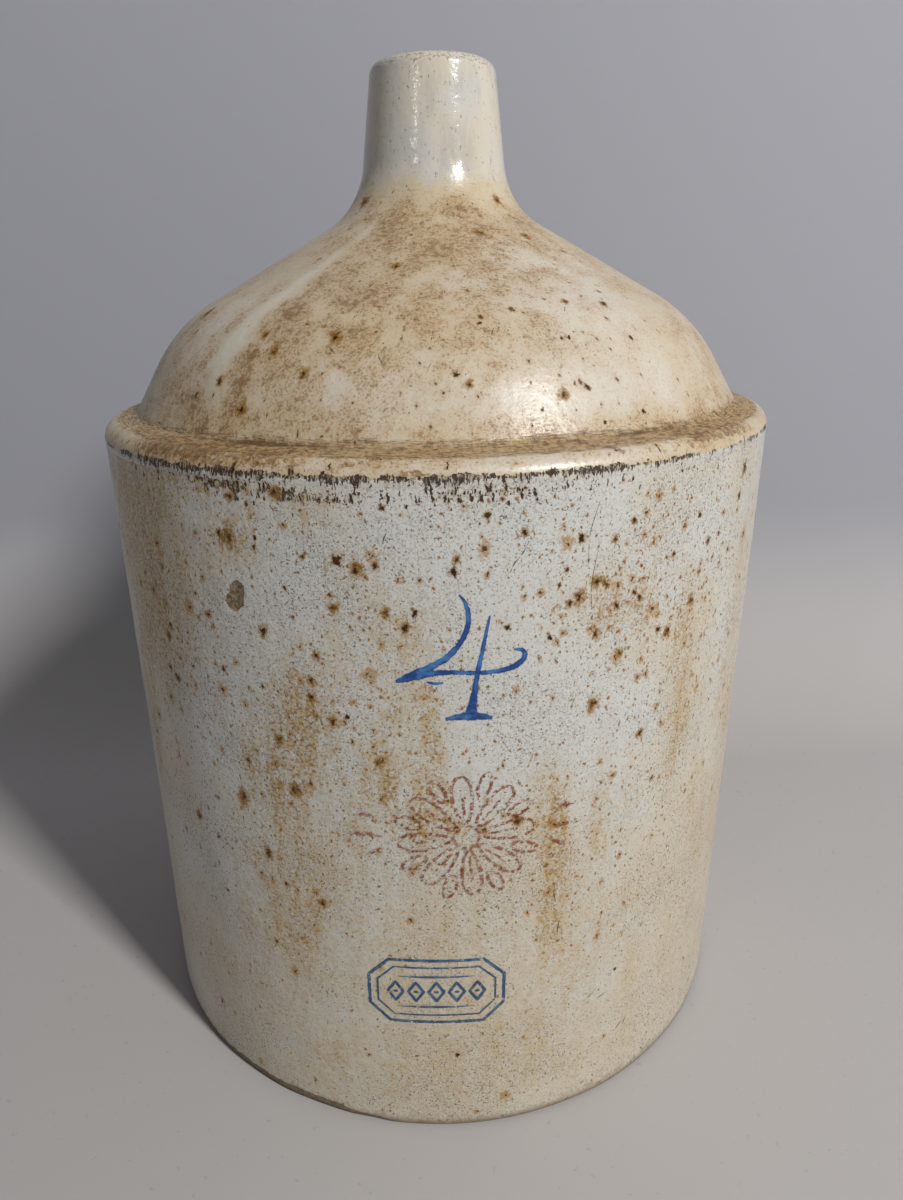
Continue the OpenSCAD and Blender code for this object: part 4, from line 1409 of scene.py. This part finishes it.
# Larger iron spots: degrees round, mm up, core and halo across in mm
ironSpots = {
    "dome": [
        (3, 300, 2.4, 4.5), (5, 297, 0.6, 6), (15, 319, 1.8, 4), (8.5, 317, 1.1, 2.6), (8, 315, 1.1, 2.6),
        (7, 325, 1.0, 3), (24.5, 295, 2.0, 4.0), (22.5, 310, 1.6, 2.6), (24, 310, 1.8, 2.8),
        (38, 309, 2.1, 3.4), (38, 320, 1.0, 5), (28, 321, 0.8, 5), (26, 284, 1.6, 3), (34, 286, 1.6, 3),
        (20, 293, 0.5, 7), (16, 289, 1.4, 2.8), (-11, 333, 1.0, 7), (19, 345, 0.6, 8), (45, 358, 1.4, 7),
        (-53, 358, 1.0, 9), (-39, 296, 1.2, 7), (-32, 288, 1.2, 11), (-44, 291, 1.2, 4), (-29, 306, 0.8, 7),
        (-18, 311, 0.6, 8), (-33, 311, 0.8, 6), (-61, 317, 0.6, 10), (-22, 300, 0.5, 8), (40, 344, 0.8, 7),
        (120, 300, 2.0, 5), (-110, 310, 1.6, 6), (160, 318, 1.8, 6), (-150, 296, 1.2, 7),
        (-175, 330, 1.2, 5), (85, 320, 1.6, 5),
    ],
    "crock": [
        (-28.4, 263, 1.2, 6), (-21.4, 266, 0.9, 9), (-13.4, 245.2, 4.6, 8), (-10.8, 242.2, 1.6, 9),
        (-8.2, 243.8, 1.8, 5), (-31, 250, 1.6, 6), (-29.4, 249, 1.2, 11), (-25, 250, 1.3, 3),
        (-25.2, 247, 1.3, 3), (-25, 217, 2.6, 8), (-33, 199, 1.6, 4), (-26, 196, 1.4, 3),
        (-3.2, 228, 2.6, 4.6), (-7, 228, 1.6, 6), (-4.4, 223, 1.6, 7), (-18, 201.5, 0.8, 5.6),
        (-18.2, 195, 1.2, 6), (-15.2, 186.6, 1.4, 8), (-13, 189, 2.0, 2.6), (-21, 234, 1.4, 3),
        (-18, 245.4, 1.2, 4), (-7, 263, 1.8, 4), (-46, 240, 1.4, 3), (-35, 219, 1.2, 6), (-45, 209, 1.6, 5),
        (-46, 204, 1.2, 6), (-47, 190, 1.4, 5), (-45, 187, 1.6, 5), (-14, 228.4, 1.0, 7),
        (-17, 211, 0.9, 6), (1.8, 242, 3.0, 6), (2.2, 246, 1.4, 5), (6.2, 260, 1.6, 4), (11, 254, 1.8, 5),
        (19, 250.2, 2.4, 5.4), (24, 248.4, 1.6, 5), (27, 254, 1.5, 4), (40, 251, 1.8, 4.4),
        (53, 262.6, 1.2, 9), (52, 252.4, 1.6, 6), (17, 240, 1.6, 4), (16, 235, 1.4, 3), (21.6, 235, 1.6, 8),
        (23, 233.4, 1.3, 6), (19, 230.4, 1.4, 9), (17.6, 228.6, 1.0, 5), (9, 222, 1.8, 4),
        (15, 217, 2.4, 3.4), (21.8, 216.2, 2.2, 4.6), (25, 225, 1.8, 5), (28, 228.4, 1.6, 5),
        (29, 226, 1.2, 4), (40, 219, 1.2, 8), (35, 210, 1.6, 8), (33, 212, 1.2, 5), (26, 207, 1.0, 6),
        (22, 189.6, 1.2, 9), (43, 240, 1.4, 5), (46, 241.4, 1.4, 3.4), (35, 239, 1.4, 4), (8, 265, 1.0, 3),
        (-32, 146.4, 1.6, 11), (-22, 156.4, 1.0, 10), (-39, 122, 1.4, 5), (-44, 126.6, 1.0, 7),
        (-28, 125, 1.4, 8), (30, 63.4, 1.6, 3), (2, 39.2, 2.0, 3), (-30, 163.4, 1.6, 5), (-19, 108, 1.0, 7),
        (11, 147.2, 1.2, 9), (-24, 176, 1.2, 7), (-9, 172, 1.2, 6), (31, 172, 1.2, 6), (120, 236, 3.4, 8),
        (131, 228, 1.8, 6), (96, 205, 2.0, 7), (-105, 222, 2.4, 8), (-96, 190, 1.8, 7), (-150, 246, 2.6, 7),
        (172, 214, 3.0, 8), (158, 130, 2.0, 7), (-170, 108, 1.8, 6), (75, 160, 1.8, 6), (68, 236, 2.0, 6),
        (-66, 236, 2.0, 6), (-72, 168, 1.8, 7),
    ],
}
spotShape = {
    "sides": 20, "rings": (0.18, 0.36, 0.54, 0.72, 0.86, 1.0), "uneven": 0.55, "unevenSize": 1.4,
    "taller": 1.2,
}


def spotRing(wall, degrees, level, halo, share):
    # One ring of points round a spot, dropped on the wall; only the middle when the share is 0
    middle, facing = wallPlace(wall, math.radians(degrees), level)
    aside = Vector((0, 0, 1)).cross(facing).normalized()
    upward = facing.cross(aside)
    size = spotShape["unevenSize"]
    taller = spotShape["taller"]
    ring = []
    for k in range(spotShape["sides"] if share else 1):
        angle = 2 * math.pi * k / spotShape["sides"]
        uneven = noise.noise(Vector((math.cos(angle) * size, math.sin(angle) * size, degrees * 1.7 + level)))
        reach = halo / 2000 * share * (1 + spotShape["uneven"] * uneven)
        spot = middle + aside * reach * math.cos(angle) + upward * reach * math.sin(angle) * taller
        near, normal = wall.find_nearest(spot)[:2]
        ring.append(near + normal * lifts["iron"])
    return ring


def layIronSpots(name, spots, wall):
    # Each spot is a small round patch on the wall, a little taller than wide
    verts, lanes, hearts, faces = [], [], [], []
    steps, shares = spotShape["sides"], spotShape["rings"]
    for degrees, level, core, halo in spots:
        start = len(verts)
        for share in (0.0, *shares):
            ring = spotRing(wall, degrees, level, halo, share)
            verts += ring
            lanes += [share] * len(ring)
            hearts += [core / halo] * len(ring)
        faces += [(start, start + 1 + k, start + 1 + (k + 1) % steps) for k in range(steps)]
        for low in (start + 1 + ring * steps for ring in range(len(shares) - 1)):
            faces += [(low + k, low + steps + k, low + steps + (k + 1) % steps, low + (k + 1) % steps)
                      for k in range(steps)]
    piece = meshPiece(name, verts, faces, ironSpotSkin)
    paintField(piece, "lane", np.array(lanes))
    paintField(piece, "heart", np.array(hearts))
    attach(piece, "root")


ironSpotSkin = ironSkin()
scratchDirt = scratchSkin()
domeWall = wallTree([domePiece])
layIronSpots("crock_iron_spots", ironSpots["crock"], crockWall)
layIronSpots("dome_iron_spots", ironSpots["dome"], domeWall)
crockScratches = scratchStrokes(scratches["crock"])
domeScratches = scratchStrokes(scratches["dome"])
layMarks("crock_scratches", crockScratches, scratchDirt, lifts["scratch"], crockWall)
layMarks("dome_scratches", domeScratches, scratchDirt, lifts["scratch"], domeWall)
print("stage: marks painted")

# Floor and backdrop: one sweep of pale paper close behind the jug
studio = {
    "sweepFrom": 0.148, "sweepRadius": 0.15, "sweepSteps": 24, "halfWidth": 3.0, "front": -3.0, "top": 2.2,
    "roughness": 0.75,
}


def buildSweep():
    s = studio
    bends = [math.pi / 2 * k / s["sweepSteps"] for k in range(s["sweepSteps"] + 1)]
    line = [(s["front"], 0.0)]
    line += [(s["sweepFrom"] + s["sweepRadius"] * math.sin(bend), s["sweepRadius"] * (1 - math.cos(bend)))
             for bend in bends]
    line.append((line[-1][0], s["top"]))
    corners = [(x, y, z) for y, z in line for x in (-s["halfWidth"], s["halfWidth"])]
    faces = [(2 * i, 2 * i + 1, 2 * i + 3, 2 * i + 2) for i in range(len(line) - 1)]
    material, skin, place = newMaterial("paper", s["roughness"])
    height = split(place)[2]
    color = mixColor(smoothRange(height, 0.0, 0.2), tones["floor"], tones["backdrop"])
    specks = grainsOn(place, 0.004, 0.12, 0.05, 2.0) * smoothRange(height, 0.004, 0.0)
    feed(skin.inputs["Base Color"], mixColor(specks * 0.25, color, tones["floorSpeck"]))
    facing = result("ShaderNodeNewGeometry", {}, "Backfacing")
    seen = {0: facing, 1: Field(skin.outputs[0]), 2: result("ShaderNodeBsdfTransparent")}
    feed(material.node_tree.nodes["Material Output"].inputs["Surface"], result("ShaderNodeMixShader", seen))
    sweep = meshPiece("paperSweep", corners, faces, material)
    sweep.visible_shadow = False


buildSweep()

# Lamps: one window at the right, a soft sky and a weak front light
lamps = {
    "window": {
        "around": 41, "up": 37, "away": 2.6, "wide": 0.27, "tall": 0.6, "watts": 59,
        "tint": (1.0, 0.98, 0.95),
    },
    "side": {
        "around": 108, "up": 30, "away": 2.6, "wide": 1.6, "tall": 1.0, "watts": 3.5,
        "tint": (1.0, 0.98, 0.96),
    },
    "glint": {
        "around": -30, "up": 25, "away": 1.8, "wide": 0.05, "tall": 0.07, "watts": 0.8,
        "tint": (0.95, 0.97, 1.0),
    },
}
lampTarget = Vector((0.0, 0.0, 0.25))


def buildLamp(name, lamp):
    around, up = math.radians(lamp["around"]), math.radians(lamp["up"])
    way = Vector((math.cos(up) * math.sin(around), -math.cos(up) * math.cos(around), math.sin(up)))
    data = bpy.data.lights.new(name, "AREA")
    data.shape = "RECTANGLE"
    data.size = lamp["wide"]
    data.size_y = lamp["tall"]
    data.energy = lamp["watts"]
    data.color = lamp["tint"]
    light = bpy.data.objects.new(name, data)
    light.location = lampTarget + way * lamp["away"]
    light.rotation_euler = way.to_track_quat("Z", "Y").to_euler()
    scene.collection.objects.link(light)


for lampName, lampSizes in lamps.items():
    buildLamp(lampName, lampSizes)

# The air's light, and the plain tone that the camera sees past the paper
air = {"tint": (0.93, 0.95, 1.0, 1.0), "strength": 0.11}


def buildAir():
    world = bpy.data.worlds.new("studioAir")
    world.use_nodes = True
    bench["tree"] = world.node_tree
    soft = world.node_tree.nodes["Background"]
    soft.inputs["Color"].default_value = air["tint"]
    soft.inputs["Strength"].default_value = air["strength"]
    beyond = result("ShaderNodeBackground", {"Color": tones["beyond"]})
    seen = {0: result("ShaderNodeLightPath", {}, "Is Camera Ray"), 1: Field(soft.outputs[0]), 2: beyond}
    feed(world.node_tree.nodes["World Output"].inputs["Surface"], result("ShaderNodeMixShader", seen))
    scene.world = world


buildAir()
print("stage: studio lit")
